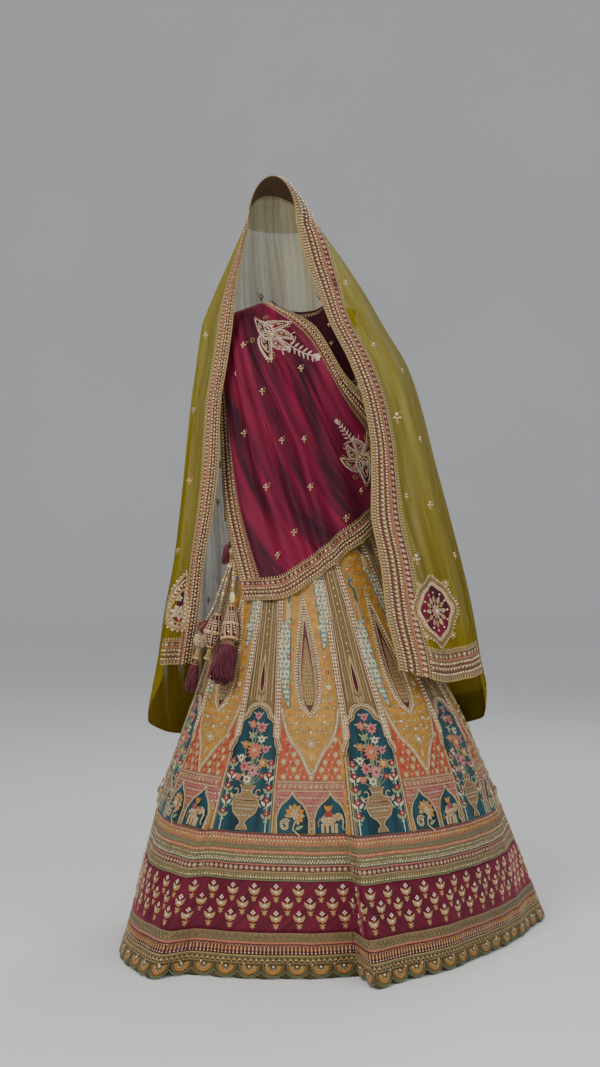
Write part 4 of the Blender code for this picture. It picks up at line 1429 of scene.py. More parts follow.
def lotus_buti() -> Work:
    """The lotus on the velvet band: a crescent of petals under a bead flower, on a short stem."""
    made = Work()
    for side in (-1, 1):
        made.leaf((side * 0.0015, -0.006), (side * 0.0105, 0.006), 0.0075, Finish.GOLD)
        made.leaf((side * 0.001, -0.005), (side * 0.0058, 0.0035), 0.006, Finish.PALE_GOLD, 0.0008)
        made.leaf((side * 0.0002, -0.0125), (side * 0.0056, -0.0088), 0.003, Finish.GOLD)
        made.leaf((side * 0.0002, -0.0115), (side * 0.0042, -0.0160), 0.0026, Finish.GOLD)
    made.leaf((0.0, -0.008), (0.0, 0.004), 0.0085, Finish.AMBER, 0.0006)
    made.leaf((0.0, -0.0185), (0.0, -0.0075), 0.0034, Finish.GOLD)
    made.beads([(0.0, 0.0062), (-0.0026, 0.0086), (0.0026, 0.0086), (0.0, 0.0112)], 0.0019,
               Finish.PEARL, 0.9, 0.0010, 5)
    made.beads([(0.0, -0.0012)], 0.0022, Finish.STONE, 0.8, 0.0022)
    return made


def scallop_fan(reach: float = 0.0225) -> Work:
    """The fan in one scallop of the lace, opening down from its heart at the origin.

    Args:
        reach: The radius in metres.

    Returns:
        The flat work, ready to be moved to its place.
    """
    made = Work()
    turns = np.radians(np.linspace(-172.0, -8.0, 13))
    for a in turns:
        out = np.array([math.cos(a), math.sin(a)])
        made.leaf(out * 0.0125, out * (reach - 0.002), 0.0045, Finish.AMBER, 0.0004)
    for radius, width, finish in ((reach, 0.0024, Finish.OLIVE), (0.0120, 0.0020, Finish.GOLD),
                                  (0.0078, 0.0018, Finish.ANTIQUE)):
        a = np.radians(np.linspace(-186.0, 6.0, 15))
        made.cord(np.c_[np.cos(a), np.sin(a)] * radius, width, finish, 0.0006)
    for a in turns[1::2]:
        out = np.array([math.cos(a), math.sin(a)])
        made.beads([out * 0.0100], 0.0012, Finish.BEAD, 0.9, 0.0006, 5)
    made.beads([(0.0, -0.0022)], 0.0034, Finish.BEAD, 0.7, 0.0006)
    made.beads([(0.0, -0.0022)], 0.0016, Finish.STONE, 0.9, 0.0026, 5)
    return made


@dataclass(frozen=True)
class SkirtBands:
    """The joined bands under the gores, from the waistband down to the lace."""

    lace_top: float = 0.050
    lower_top: float = 0.097
    velvet_top: float = 0.208
    bead_top: float = 0.310
    waistband_low: float = 1.120
    columns: int = 288
    scallops: int = 64
    scallop_depth: float = 0.014

    def strip(self, low: float, high: float) -> Strip:
        """The place of a band that goes all round, its inner line below."""
        def line(height: float) -> Callable[[Array], tuple[Array, Array]]:
            """A ring at a height."""
            return lambda share: (SKIRT.first_seam + 360.0 * share, np.full_like(share, height))

        return Strip(SKIRT, line(low), line(high), high - low)

    def cloth(self, name: str, low: float, high: float, finish: Finish, slot: str) -> bpy.types.Object:
        """A band's cloth, all round."""
        us = SKIRT.first_seam + np.linspace(0.0, 360.0, self.columns + 1)
        vs = np.linspace(low, high, max(3, int((high - low) / GROUND_PITCH)))
        return shell(f"{name}_cloth", SKIRT, us, vs, finish, slot, [name])

    def build(self) -> None:
        """Build every band."""
        self.cloth("bead_border", self.velvet_top, self.bead_top, Finish.OLIVE_SILK, "gold_embroidery")
        self.bead_rows().piece("bead_border_rows", "gold_embroidery")
        self.cloth("velvet_band", self.lower_top, self.velvet_top, Finish.BAND_VELVET, "maroon_velvet")
        self.butis().piece("velvet_band_butis", "maroon_velvet")
        self.cloth("lower_border", self.lace_top, self.lower_top, Finish.MAROON_SILK, "gold_embroidery")
        self.lower_rows().piece("lower_border_rows", "gold_embroidery")
        self.lace()
        self.cloth("waistband", self.waistband_low, WAIST_HEIGHT, Finish.MAROON_VELVET, "maroon_velvet")
        edge = Band(self.strip(self.waistband_low, WAIST_HEIGHT))
        edge.line(0.003, 0.004, Finish.GOLD).line(0.032, 0.004, Finish.GOLD)
        edge.row(0.0175, 0.016, 0.003, Finish.BEAD).laid().piece("waistband_rows", "maroon_velvet")

    def bead_rows(self) -> Work:
        """The rows of the bead border, from the lowest."""
        band = Band(self.strip(self.velvet_top, self.bead_top))
        band.line(0.0015, 0.003, Finish.OLIVE).row(0.0068, 0.0062, 0.0021, Finish.BEAD)
        band.leaves(0.0085, 0.0145, 0.0062, 0.0030, Finish.GOLD, 0.001).line(0.0165, 0.0028, Finish.ANTIQUE)
        band.ground(0.0185, 0.0350, Finish.MAROON_SILK).line(0.0195, 0.002, Finish.GOLD)
        band.motifs(rosette(0.0056, Finish.PALE_GOLD, Finish.BEAD, 6), 0.0268, 0.0125)
        band.line(0.0345, 0.0024, Finish.CORAL).line(0.0370, 0.0022, Finish.DEEP_GREEN)
        band.row(0.0412, 0.0070, 0.0020, Finish.PEARL).row(0.0452, 0.0070, 0.0019, Finish.BEAD, start=0.0)
        band.line(0.0490, 0.0026, Finish.OLIVE).row(0.0530, 0.0055, 0.0018, Finish.BEAD)
        band.line(0.0565, 0.0022, Finish.OLIVE).ground(0.0580, 0.0660, Finish.ORANGE_SILK)
        band.zigzag(0.0590, 0.0650, 0.0080, 0.0016, Finish.PALE_GOLD)
        band.row(0.0620, 0.0080, 0.0015, Finish.PEARL)
        band.line(0.0680, 0.0024, Finish.OLIVE).line(0.0708, 0.0024, Finish.ANTIQUE)
        band.line(0.0736, 0.0024, Finish.OLIVE)
        band.ground(0.0755, 0.0985, Finish.ROSE_SILK)
        band.leaves(0.0765, 0.0965, 0.0088, 0.0066, Finish.AMBER, 0.003)
        band.leaves(0.0790, 0.0930, 0.0088, 0.0034, Finish.GOLD, 0.002, 0.0016)
        band.row(0.0872, 0.0088, 0.0021, Finish.BEAD, 0.0012, 0.0).row(0.0955, 0.0088, 0.0017, Finish.PEARL)
        band.line(0.0768, 0.002, Finish.ANTIQUE).line(0.1000, 0.003, Finish.MAROON)
        return band.laid()

    def butis(self) -> Work:
        """Three staggered rows of lotuses."""
        band = Band(self.strip(self.lower_top, self.velvet_top))
        motif = lotus_buti()
        for n, y in enumerate((0.0300, 0.0590, 0.0880)):
            for x, at in band.places(y, 0.0520, 0.5 * (n % 2)):
                band.extend(motif, x, at, 0.0, 1.32)
        return band.laid()

    def lower_rows(self) -> Work:
        """The zigzag band above the row of spikes."""
        band = Band(self.strip(self.lace_top, self.lower_top))
        band.row(0.0030, 0.0088, 0.0019, Finish.PEARL).leaves(0.0045, 0.0205, 0.0088, 0.0056, Finish.AMBER)
        band.leaves(0.0060, 0.0175, 0.0088, 0.0028, Finish.PALE_GOLD, 0.0, 0.0014)
        band.row(0.0185, 0.0088, 0.0013, Finish.BEAD, start=0.0, sides=5).line(0.0240, 0.003, Finish.CORAL)
        band.line(0.0268, 0.0026, Finish.ANTIQUE).ground(0.0285, 0.0440, Finish.GOLD_TISSUE, 0.0009)
        band.zigzag(0.0305, 0.0420, 0.0145, 0.0026, Finish.PALE_GOLD).line(0.0295, 0.0022, Finish.OLIVE)
        band.zigzag(0.0315, 0.0410, 0.0145, 0.0012, Finish.DEEP_GREEN, 0.0016)
        return band.line(0.0445, 0.0030, Finish.ANTIQUE).laid()

    def hem(self, share: Array) -> Array:
        """The height of the scalloped hem at shares of the way round."""
        return self.scallop_depth * (1.0 - np.abs(np.sin(math.pi * share * self.scallops)) ** 0.8)

    def lace(self) -> None:
        """The scalloped lace: cloth cut along its scallops, with a fan in each."""
        count = self.scallops * 12
        share = np.arange(count + 1) / count
        us = SKIRT.first_seam + 360.0 * share
        rows = np.linspace(0.0, 1.0, 7)[:, None]
        heights = self.hem(share) * (1 - rows) + self.lace_top * rows
        points = SKIRT.place(np.broadcast_to(us, heights.shape), heights)
        thread, flat, area = cut_of(points)
        work = Work()
        work.grid(points, thread, Finish.LACE)
        cloth = work.piece("hem_lace_cloth", "gold_lace", ["hem_lace"])
        thicken(cloth, 0.001)
        band = Band(self.strip(0.0, self.lace_top))
        band.motifs(scallop_fan(), 0.0265, band.length / self.scallops)
        x = np.linspace(0.0, band.length, self.scallops * 8 + 1)
        band.cord(np.c_[x, self.hem(x / band.length) + 0.0006], 0.0026, Finish.OLIVE, 0.0002)
        band.line(0.0318, 0.0024, Finish.ANTIQUE).zigzag(0.0340, 0.0420, 0.0130, 0.0022, Finish.GOLD)
        band.row(0.0380, 0.0130, 0.0016, Finish.BEAD, start=0.25).line(0.0440, 0.0022, Finish.OLIVE)
        band.line(0.0472, 0.0028, Finish.GOLD).row(0.0290, 0.0520, 0.0026, Finish.BEAD, start=0.0)
        trim = band.laid().piece("hem_lace_fans", "gold_lace")


@dataclass(frozen=True)
class ArchGore:
    """A narrow gore, with a teal velvet arch over a vase of flowers under a tapered gold band."""

    number: int
    width: float = 20.625
    arch: Table = Table("height share", [
        (0.311, 0.93), (0.470, 0.93), (0.492, 0.90), (0.506, 0.80), (0.535, 0.76), (0.550, 0.70),
        (0.559, 0.56), (0.563, 0.42), (0.573, 0.37), (0.581, 0.24), (0.588, 0.0)])
    vase_profile: Table = Table("height half_width", [
        (0.314, 0.0130), (0.321, 0.0120), (0.328, 0.0050), (0.336, 0.0080), (0.352, 0.0270),
        (0.372, 0.0330), (0.388, 0.0250), (0.394, 0.0130), (0.406, 0.0150), (0.412, 0.0200)])
    bouquet: tuple[tuple[float, float, float, Finish, int], ...] = (
        (0.000, 0.566, 0.0080, Finish.PINK, 7), (-0.012, 0.546, 0.0090, Finish.CORAL, 6),
        (0.013, 0.540, 0.0110, Finish.PINK, 8), (-0.010, 0.520, 0.0075, Finish.LEAF, 5),
        (0.016, 0.514, 0.0080, Finish.CREAM, 6), (-0.024, 0.500, 0.0085, Finish.AMBER, 6),
        (0.002, 0.488, 0.0175, Finish.CORAL, 12), (0.030, 0.492, 0.0080, Finish.PINK, 6),
        (-0.030, 0.470, 0.0080, Finish.CREAM, 6), (0.027, 0.462, 0.0105, Finish.AMBER, 7),
        (-0.018, 0.452, 0.0110, Finish.PINK, 8), (0.006, 0.444, 0.0130, Finish.PINK, 9),
        (0.030, 0.434, 0.0070, Finish.RED, 6), (-0.030, 0.428, 0.0080, Finish.CORAL, 6),
        (-0.006, 0.424, 0.0090, Finish.CREAM, 6))

    def build(self) -> None:
        """Build the cloth and its embroidery."""
        middle = SKIRT.first_seam + SKIRT.pair * self.number + self.width / 2
        gore = Gore(middle, self.width / 2)
        name = f"arch_gore_{self.number + 1}"
        us = np.linspace(middle - self.width / 2, middle + self.width / 2, 15)
        shell(f"{name}_cloth", SKIRT, us, np.linspace(gore.low, gore.high, 64), Finish.GOLD_TISSUE,
              "teal_velvet", [name])
        self.pattern(gore).moved(gore.seat).piece(f"{name}_embroidery", "teal_velvet")

    def pattern(self, gore: Gore) -> Work:
        """All the gore's embroidery, flat.

        Args:
            gore: The gore it is laid out for.

        Returns:
            The flat work, ready to be moved to its place.
        """
        work = Work()
        self.add_arch(work, gore)
        self.add_vase(work)
        self.add_bouquet(work)
        self.add_side_stems(work, gore)
        self.add_upper_band(work, gore)
        return work

    def add_arch(self, work: Work, gore: Gore) -> None:
        """The teal velvet arch, outlined with a cord and pearls.

        Args:
            work: The embroidery it is added to.
            gore: The gore it is laid out for.
        """
        heights = np.r_[np.linspace(0.311, 0.49, 24), np.linspace(0.494, 0.588, 30)]
        half = self.arch("share", heights) * gore.half_width(heights)
        work.patch(np.c_[-half, heights], np.c_[half, heights], Finish.TEAL_VELVET, 0.0004, 14)
        edge = np.concatenate([np.c_[-half, heights], np.c_[half, heights][::-1]])
        upper = edge[edge[:, 1] > 0.475]
        work.cord(upper, 0.0032, Finish.GOLD, 0.0006)
        outer = upper + np.c_[np.sign(upper[:, 0]) * 0.0045, np.full(len(upper), 0.0045)]
        work.cord(outer, 0.0030, Finish.MAROON, 0.0004)
        further = upper + np.c_[np.sign(upper[:, 0]) * 0.0080, np.full(len(upper), 0.0080)]
        work.cord(further, 0.0040, Finish.PALE_GOLD, 0.0004)
        work.beads(spaced(outer, 0.0048), 0.0020, Finish.PEARL, 0.9, 0.0012)
        for side in (-1, 1):
            low = np.linspace(0.312, 0.480, 20)
            x = side * gore.half_width(low)
            work.cord(np.c_[x * 0.955, low], 0.0038, Finish.PALE_GOLD, 0.0004)
            work.cord(np.c_[x * 0.885, low], 0.0018, Finish.GOLD, 0.0006)

    def add_vase(self, work: Work) -> None:
        """The gold vase with its dark belt and two curled handles.

        Args:
            work: The embroidery it is added to.
        """
        heights = np.linspace(0.314, 0.412, 22)
        half = self.vase_profile("half_width", heights)
        work.patch(np.c_[-half, heights], np.c_[half, heights], Finish.PALE_TISSUE, 0.0014, 8)
        for side in (-1, 1):
            work.cord(np.c_[side * half, heights], 0.0024, Finish.PALE_GOLD, 0.0016)
            work.cord(curl(side * 0.030, 0.398, 0.0125, 90 - side * 110, side * -0.85), 0.0026,
                      Finish.PALE_GOLD, 0.0014)
            work.leaf((side * 0.033, 0.380), (side * 0.044, 0.392), 0.0075, Finish.PALE_GOLD, 0.0012)
            work.leaf((side * 0.031, 0.374), (side * 0.041, 0.364), 0.0060, Finish.LEAF, 0.0012)
        for height, reach in ((0.384, 0.0270), (0.377, 0.0310), (0.352, 0.0250), (0.395, 0.0120)):
            work.cord([(-reach, height), (0.0, height - 0.0012), (reach, height)], 0.0016, Finish.GOLD,
                      0.0020)
        work.cord([(-0.029, 0.3805), (0.0, 0.3793), (0.029, 0.3805)], 0.0036, Finish.MAROON, 0.0018)
        work.beads(spaced(np.array([(-0.027, 0.3805), (0.027, 0.3805)]), 0.0036), 0.0012, Finish.BEAD,
                   0.9, 0.003)
        for row, reach in ((0.368, 0.026), (0.360, 0.021), (0.346, 0.014), (0.400, 0.010)):
            work.beads(spaced(np.array([(-reach, row), (reach, row)]), 0.0055), 0.0015, Finish.PEARL, 0.8,
                       0.0018, 5)

    def add_bouquet(self, work: Work) -> None:
        """The flowers over the vase, on their stems, with leaves between them.

        Args:
            work: The embroidery it is added to.
        """
        for n, (x, height, radius, petals, count) in enumerate(self.bouquet):
            sway = 0.006 * math.sin(2.3 * n)
            stem = np.array([(x * 0.25, 0.412), (x * 0.6 + sway, (height + 0.412) / 2), (x, height)])
            work.cord(stem, 0.0016, Finish.LEAF, 0.0006)
            for k in (-1, 1):
                way = math.radians(90 + k * (62 + 12 * math.sin(1.7 * n)))
                out = np.array([math.cos(way), math.sin(way)])
                root = np.array([x, height]) + out * radius * 0.85
                work.leaf(root, root + out * (0.0070 + 0.25 * radius), 0.0052,
                          Finish.LEAF if (n + k) % 3 else Finish.PALE_GOLD, 0.0006)
            heart = Finish.RED if petals in (Finish.PINK, Finish.CREAM) else Finish.PALE_GOLD
            work.flower(x, height, radius * 1.2, petals, heart, count, 0.4 * n, 0.0012)
            if radius > 0.010:
                work.flower(x, height, radius * 0.58, Finish.CREAM if n % 2 else Finish.CORAL,
                            Finish.BEAD, 7, 0.2, 0.0022)

    def add_side_stems(self, work: Work, gore: Gore) -> None:
        """A column of red flowers at each side of the vase.

        Args:
            work: The embroidery it is added to.
            gore: The gore it is laid out for.
        """
        for side in (-1, 1):
            for k, height in enumerate((0.352, 0.380, 0.408, 0.436, 0.462)):
                x = side * (float(gore.half_width(height)) * 0.74 - 0.002 * (k % 2))
                work.flower(x, height, 0.0084, Finish.RED, Finish.BEAD, 6, 0.3 * k, 0.0014)
                for k2 in (-1, 1):
                    work.leaf((x + k2 * 0.002, height - 0.012), (x + k2 * 0.0135, height - 0.001), 0.0080,
                              Finish.CREAM if k % 2 else Finish.LEAF, 0.0006)
                    work.leaf((x, height - 0.014), (x + k2 * 0.0055, height - 0.019), 0.0042, Finish.LEAF,
                              0.0006)
            low = np.linspace(0.312, 0.470, 12)
            work.cord(np.c_[side * gore.half_width(low) * 0.74, low], 0.0024, Finish.CREAM, 0.0005)

    def add_upper_band(self, work: Work, gore: Gore) -> None:
        """The tapered gold band with its maroon slit, and the pearl borders along both seams.

        Args:
            work: The embroidery it is added to.
            gore: The gore it is laid out for.
        """
        heights = np.linspace(0.520, 1.115, 70)
        half = gore.half_width(heights)
        for side in (-1, 1):
            inner, outer = side * (half - 0.0175), side * (half - 0.0015)
            work.patch(np.c_[inner, heights], np.c_[outer, heights], Finish.MAROON_SILK, 0.0004, 2)
            for inset in (0.0062, 0.0126):
                places = spaced(np.c_[side * (half - inset), heights], 0.0082)
                work.beads(places, 0.0030, Finish.PEARL, 0.7, 0.0006, 5)
                work.beads(places[:-1] + (0.0, 0.0041), 0.0014, Finish.BEAD, 0.8, 0.0006, 5)
            work.cord(np.c_[side * (half - 0.0094), heights], 0.0016, Finish.GOLD, 0.0006)
            work.cord(np.c_[side * (half - 0.0014), heights], 0.0028, Finish.GOLD, 0.0005)
            work.cord(np.c_[side * (half - 0.0175), heights], 0.0028, Finish.PALE_GOLD, 0.0005)
            work.cord(np.c_[side * (half - 0.0205), heights], 0.0016, Finish.MAROON, 0.0005)
        slit, outline = drop(0.085, 0.0125, Finish.MAROON_VELVET, 0.0008)
        work.extend(slit, 0.0, 0.618)
        work.cord(outline + (0.0, 0.618), 0.0022, Finish.PALE_GOLD, 0.0008)
        work.cord(outline * (1.7, 1.12) + (0.0, 0.614), 0.0022, Finish.GOLD, 0.0006)
        for side in (-1, 1):
            for k in range(3):
                work.leaf((0.0, 0.607 - 0.005 * k), (side * 0.0105, 0.614 - 0.0045 * k), 0.0036,
                          Finish.PALE_GOLD, 0.0006)
        rows = np.linspace(0.600, 1.110, 44)
        for share in (-0.50, -0.36, -0.22, 0.22, 0.36, 0.50):
            work.cord(np.c_[share * gore.half_width(rows), rows], 0.0024,
                      Finish.PALE_GOLD if abs(share) != 0.36 else Finish.ANTIQUE, 0.0004)
        tall = np.linspace(0.72, 1.11, 30)
        work.cord(np.c_[np.zeros(30), tall], 0.0022, Finish.ANTIQUE, 0.0005)
        work.beads(spaced(np.array([(0.0, 0.715), (0.0, 1.10)]), 0.018), 0.0022, Finish.BEAD, 0.8, 0.0012)


@dataclass(frozen=True)
class PeacockGore:
    """A wide gore of mustard silk with peacocks, over an orange floral ground."""

    number: int
    start: float = 20.625
    width: float = 24.375
    ogee: Table = Table("share height", [
        (0.0, 0.446), (0.10, 0.456), (0.28, 0.484), (0.45, 0.503), (0.66, 0.520), (0.86, 0.552),
        (1.0, 0.588)])
    small_arch: Table = Table("share height", [
        (0.0, 0.401), (0.10, 0.393), (0.34, 0.383), (0.52, 0.378), (0.78, 0.366), (1.0, 0.345)])
    arch_reach: float = 0.0385
    arch_middle: float = 0.0445

    def build(self) -> None:
        """Build the cloth and its embroidery."""
        middle = SKIRT.first_seam + SKIRT.pair * self.number + self.start + self.width / 2
        gore = Gore(middle, self.width / 2)
        name = f"peacock_gore_{self.number + 1}"
        us = np.linspace(middle - self.width / 2, middle + self.width / 2, 17)
        shell(f"{name}_cloth", SKIRT, us, np.linspace(gore.low, gore.high, 64), Finish.MUSTARD_SILK,
              "mustard_silk", [name])
        self.pattern(gore).moved(gore.seat).piece(f"{name}_embroidery", "mustard_silk")

    def pattern(self, gore: Gore) -> Work:
        """All the gore's embroidery, flat.

        Args:
            gore: The gore it is laid out for.

        Returns:
            The flat work, ready to be moved to its place.
        """
        work = Work()
        self.add_floral_ground(work, gore)
        self.add_ogee(work, gore)
        self.add_small_arches(work, gore)
        self.add_scrolls(work)
        self.add_drop(work)
        work.extend(peacock(), -0.0420, 0.800, 0.0, 1.20)
        work.extend(peacock(), 0.0355, 0.915, 0.0, 1.10, mirror=True)
        self.add_sprays(work, gore)
        self.add_filling(work, gore)
        return work

    def add_floral_ground(self, work: Work, gore: Gore) -> None:
        """The orange ground, full of rosettes and trailing stems.

        Args:
            work: The embroidery it is added to.
            gore: The gore it is laid out for.
        """
        share = np.linspace(-1.0, 1.0, 41)
        top = self.ogee("height", np.abs(share))
        low = np.full_like(share, 0.400)
        work.patch(np.c_[share * gore.half_width(low), low], np.c_[share * gore.half_width(top), top],
                   Finish.ORANGE_SILK, 0.0003, 14)
        for row in range(9):
            height = 0.434 + 0.0165 * row
            reach = float(gore.half_width(height)) - 0.010
            for k in range(-5, 6):
                x = (k + 0.5 * (row % 2)) * 0.0165
                edge = float(self.ogee("height", abs(x) / float(gore.half_width(height))))
                if abs(x) > reach or height > edge - 0.011:
                    continue
                big = (k + row) % 2 == 0
                work.flower(x, height, 0.0078 if big else 0.0050, Finish.PALE_GOLD if big else Finish.CORAL,
                            Finish.BEAD if big else Finish.PEARL, 7 if big else 5, 0.3 * k, 0.0006)
                work.cord(curl(x + 0.0065, height + 0.0065, 0.0042, 200, 0.9, 0.3, 8), 0.0014,
                          Finish.GOLD, 0.0005)
                work.leaf((x - 0.0040, height - 0.0090), (x + 0.0010, height - 0.0060), 0.0034, Finish.LEAF
                          if row % 3 else Finish.GOLD, 0.0005)

    def add_ogee(self, work: Work, gore: Gore) -> None:
        """The ogee edge of the mustard silk and the gold border under the orange ground.

        Args:
            work: The embroidery it is added to.
            gore: The gore it is laid out for.
        """
        share = np.linspace(-1.0, 1.0, 81)
        top = self.ogee("height", np.abs(share))
        line = np.c_[share * gore.half_width(top), top]
        work.cord(line - (0.0, 0.0060), 0.0120, Finish.ANTIQUE, 0.0004, 0.12)
        work.cord(line + (0.0, 0.0005), 0.0026, Finish.GOLD, 0.0012)
        work.cord(line - (0.0, 0.0120), 0.0026, Finish.PALE_GOLD, 0.0012)
        work.beads(spaced(line - (0.0, 0.0058), 0.0056), 0.0022, Finish.PEARL, 0.8, 0.0016)
        work.beads(spaced(line + (0.0, 0.0038), 0.0056), 0.0014, Finish.BEAD, 0.8, 0.0006, 5)
        reach = float(gore.half_width(0.414)) - 0.002
        x = np.linspace(-reach, reach, 30)
        work.patch(np.c_[x, np.full(30, 0.403)], np.c_[x, np.full(30, 0.424)], Finish.ROSE_SILK, 0.0008, 1)
        for height, width, finish in ((0.4035, 0.0028, Finish.PALE_GOLD),
                                      (0.4235, 0.0028, Finish.PALE_GOLD),
                                      (0.4270, 0.0020, Finish.ANTIQUE)):
            work.cord(np.c_[x, np.full(30, height)], width, finish, 0.0010)
        for place in spaced(np.array([(-reach + 0.006, 0.4135), (reach - 0.006, 0.4135)]), 0.0120):
            work.cord(curl(place[0], place[1], 0.0058, 20, 0.8, 0.45, 9), 0.0022, Finish.PALE_GOLD, 0.0012)
            work.beads([place], 0.0020, Finish.BEAD, 0.8, 0.0012)

    def add_small_arches(self, work: Work, gore: Gore) -> None:
        """Two teal arches with a lattice between them: an elephant in one, a flower in the other.

        Args:
            work: The embroidery it is added to.
            gore: The gore it is laid out for.
        """
        low, high = 0.3115, 0.402
        reach = float(gore.half_width(0.36)) - 0.001
        x = np.linspace(-reach, reach, 40)
        work.patch(np.c_[x, np.full(40, low)], np.c_[x, np.full(40, high)], Finish.ROSE_SILK, 0.0004, 4)
        for row in range(11):
            height = low + 0.004 + 0.0082 * row
            places = spaced(np.array([(-reach + 0.004, height), (reach - 0.004, height)]), 0.0066)
            work.beads(places + (0.0033 * (row % 2), 0.0), 0.0018,
                       Finish.CREAM if row % 2 else Finish.PINK, 0.6, 0.0005, 5)
        share = np.linspace(-1.0, 1.0, 31)
        top = self.small_arch("height", np.abs(share))
        for side in (-1, 1):
            middle = side * self.arch_middle
            low_line = np.c_[middle + share * self.arch_reach, np.full(31, low)]
            top_line = np.c_[middle + share * self.arch_reach, top]
            work.patch(low_line, top_line, Finish.TEAL_VELVET, 0.0022, 6)
            frame_line = np.concatenate([[(middle - self.arch_reach, low)], top_line,
                                         [(middle + self.arch_reach, low)]])
            work.cord(frame_line, 0.0036, Finish.PALE_GOLD, 0.0024)
            work.cord((frame_line - (middle, 0.34)) * 1.09 + (middle, 0.34), 0.0018, Finish.GOLD, 0.0010)
            work.beads([(middle, 0.3985)], 0.0024, Finish.PEARL, 0.9, 0.003)
        work.extend(elephant(), self.arch_middle, 0.344, 0.0, 1.38)
        work.extend(flower_spray(), -self.arch_middle, 0.346, 0.0, 1.45)

    def add_scrolls(self, work: Work) -> None:
        """Gold scrollwork and a medallion in the ogee's point.

        Args:
            work: The embroidery it is added to.
        """
        for side in (-1, 1):
            for x, height, radius in ((0.018, 0.512, 0.0105), (0.036, 0.532, 0.0115),
                                      (0.022, 0.540, 0.0085),
                                      (0.053, 0.552, 0.0090)):
                work.cord(curl(side * x, height, radius, 90 + side * 60, side * 1.3, 0.25, 16), 0.0024,
                          Finish.GOLD, 0.0008)
                work.beads([(side * x, height)], 0.0026, Finish.BEAD, 0.8, 0.0010)
        work.flower(0.0, 0.508, 0.0175, Finish.GOLD, Finish.BEAD, 9, 0.2, 0.0008)
        work.flower(0.0, 0.508, 0.0105, Finish.PALE_GOLD, Finish.STONE, 8, 0.0, 0.0020)
        work.leaf((0.0, 0.488), (0.0, 0.468), 0.0110, Finish.PALE_GOLD, 0.0008)
        work.beads([(0.0, 0.532), (-0.034, 0.552), (0.034, 0.556)], 0.0030, Finish.STONE, 0.9, 0.0012)

    def add_drop(self, work: Work) -> None:
        """The long teardrop, ringed with maroon and pearls and scaled with gold inside.

        Args:
            work: The embroidery it is added to.
        """
        filled, outline = drop(0.285, 0.066, Finish.MAROON_SILK, 0.0006, 8)
        work.extend(filled, 0.0, 0.566)
        middle = np.array([0.0, 0.045])
        for scale, width, finish in ((1.04, 0.0030, Finish.PALE_GOLD), (0.80, 0.0028, Finish.GOLD),
                                     (0.56, 0.0026, Finish.PALE_GOLD)):
            work.cord((outline - middle) * (scale, 0.5 + 0.5 * scale) + middle + (0.0, 0.566), width,
                      finish, 0.0010)
        ring = (outline - middle) * (0.92, 0.96) + middle + (0.0, 0.566)
        work.beads(spaced(ring, 0.0066), 0.0026, Finish.PEARL, 0.75, 0.0012)
        work.beads(spaced((outline - middle) * (0.68, 0.84) + middle + (0.0, 0.566), 0.0052), 0.0017,
                   Finish.BEAD, 0.8, 0.0012)
        core, _ = drop(0.165, 0.0320, Finish.PALE_TISSUE, 0.0014)
        work.extend(core, 0.0, 0.588)
        for row in range(15):
            height = 0.594 + 0.0085 * row
            half = 0.0130 * math.sin(math.pi * min(1.0, (row + 1.6) / 17.0) ** 0.62)
            count = max(1, int(half / 0.0026))
            for k in range(count):
                x = (k - (count - 1) / 2) * 0.0054
                work.leaf((x, height - 0.001), (x, height + 0.0062), 0.0046, Finish.GOLD, 0.0018)

    def add_filling(self, work: Work, gore: Gore) -> None:
        """Gold scrolls and small flowers in what is left of the mustard silk.

        Args:
            work: The embroidery it is added to.
            gore: The gore it is laid out for.
        """
        for row in range(34):
            height = 0.535 + 0.0172 * row
            for k in range(-4, 5):
                x = (k + 0.5 * (row % 2)) * 0.0165
                share = abs(x) / float(gore.half_width(height))
                drop_share = np.clip((0.86 - height) / 0.30, 0.0, 1.0)
                inside_drop = abs(x) < 0.040 * math.sin(math.pi * drop_share) + 0.004
                ogee = float(self.ogee("height", share)) + 0.012
                if share > 0.86 or (height > 0.57 and inside_drop) or height < ogee:
                    continue
                way = -1 if (k + row) % 2 else 1
                work.cord(curl(x, height, 0.0062, 90 + 60 * k, way * 1.1, 0.25, 8), 0.0019,
                          Finish.GOLD if row % 3 else Finish.ANTIQUE, 0.0003)
                work.beads([(x, height)], 0.0021,
                           (Finish.BEAD, Finish.PEARL, Finish.CORAL)[(row + k) % 3], 0.8, 0.0004, 5)
                work.leaf((x + 0.006 * way, height - 0.004), (x + 0.011 * way, height + 0.003), 0.0034,
                          Finish.PALE_GOLD if k % 2 else Finish.LEAF, 0.0003)

    def add_sprays(self, work: Work, gore: Gore) -> None:
        """Small flowers and leaves up both sides, and a gold piping beside each seam.

        Args:
            work: The embroidery it is added to.
            gore: The gore it is laid out for.
        """
        heights = np.linspace(0.590, 1.115, 60)
        for side in (-1, 1):
            work.cord(np.c_[side * (gore.half_width(heights) - 0.0016), heights], 0.0030, Finish.AMBER,
                      0.0004)
            for k in range(15):
                height = 0.600 + 0.034 * k
                x = side * (float(gore.half_width(height)) - 0.0115 - 0.0025 * (k % 2))
                colour = (Finish.PINK, Finish.CORAL, Finish.CREAM, Finish.RED)[(k + (side > 0)) % 4]
                work.flower(x, height, 0.0068 if k % 2 else 0.0052, colour, Finish.BEAD, 6, 0.5 * k, 0.0008)
                for lean in (-1, 1):
                    work.leaf((x, height + 0.006), (x + lean * 0.0050, height + 0.0145), 0.0042,
                              Finish.LEAF, 0.0006)
                work.leaf((x, height - 0.007), (x - side * 0.004, height - 0.016), 0.0034, Finish.GOLD,
                          0.0006)
                work.cord(curl(x - side * 0.0105, height + 0.016, 0.0046, 90, side * 0.9, 0.3, 8), 0.0015,
                          Finish.GOLD, 0.0006)


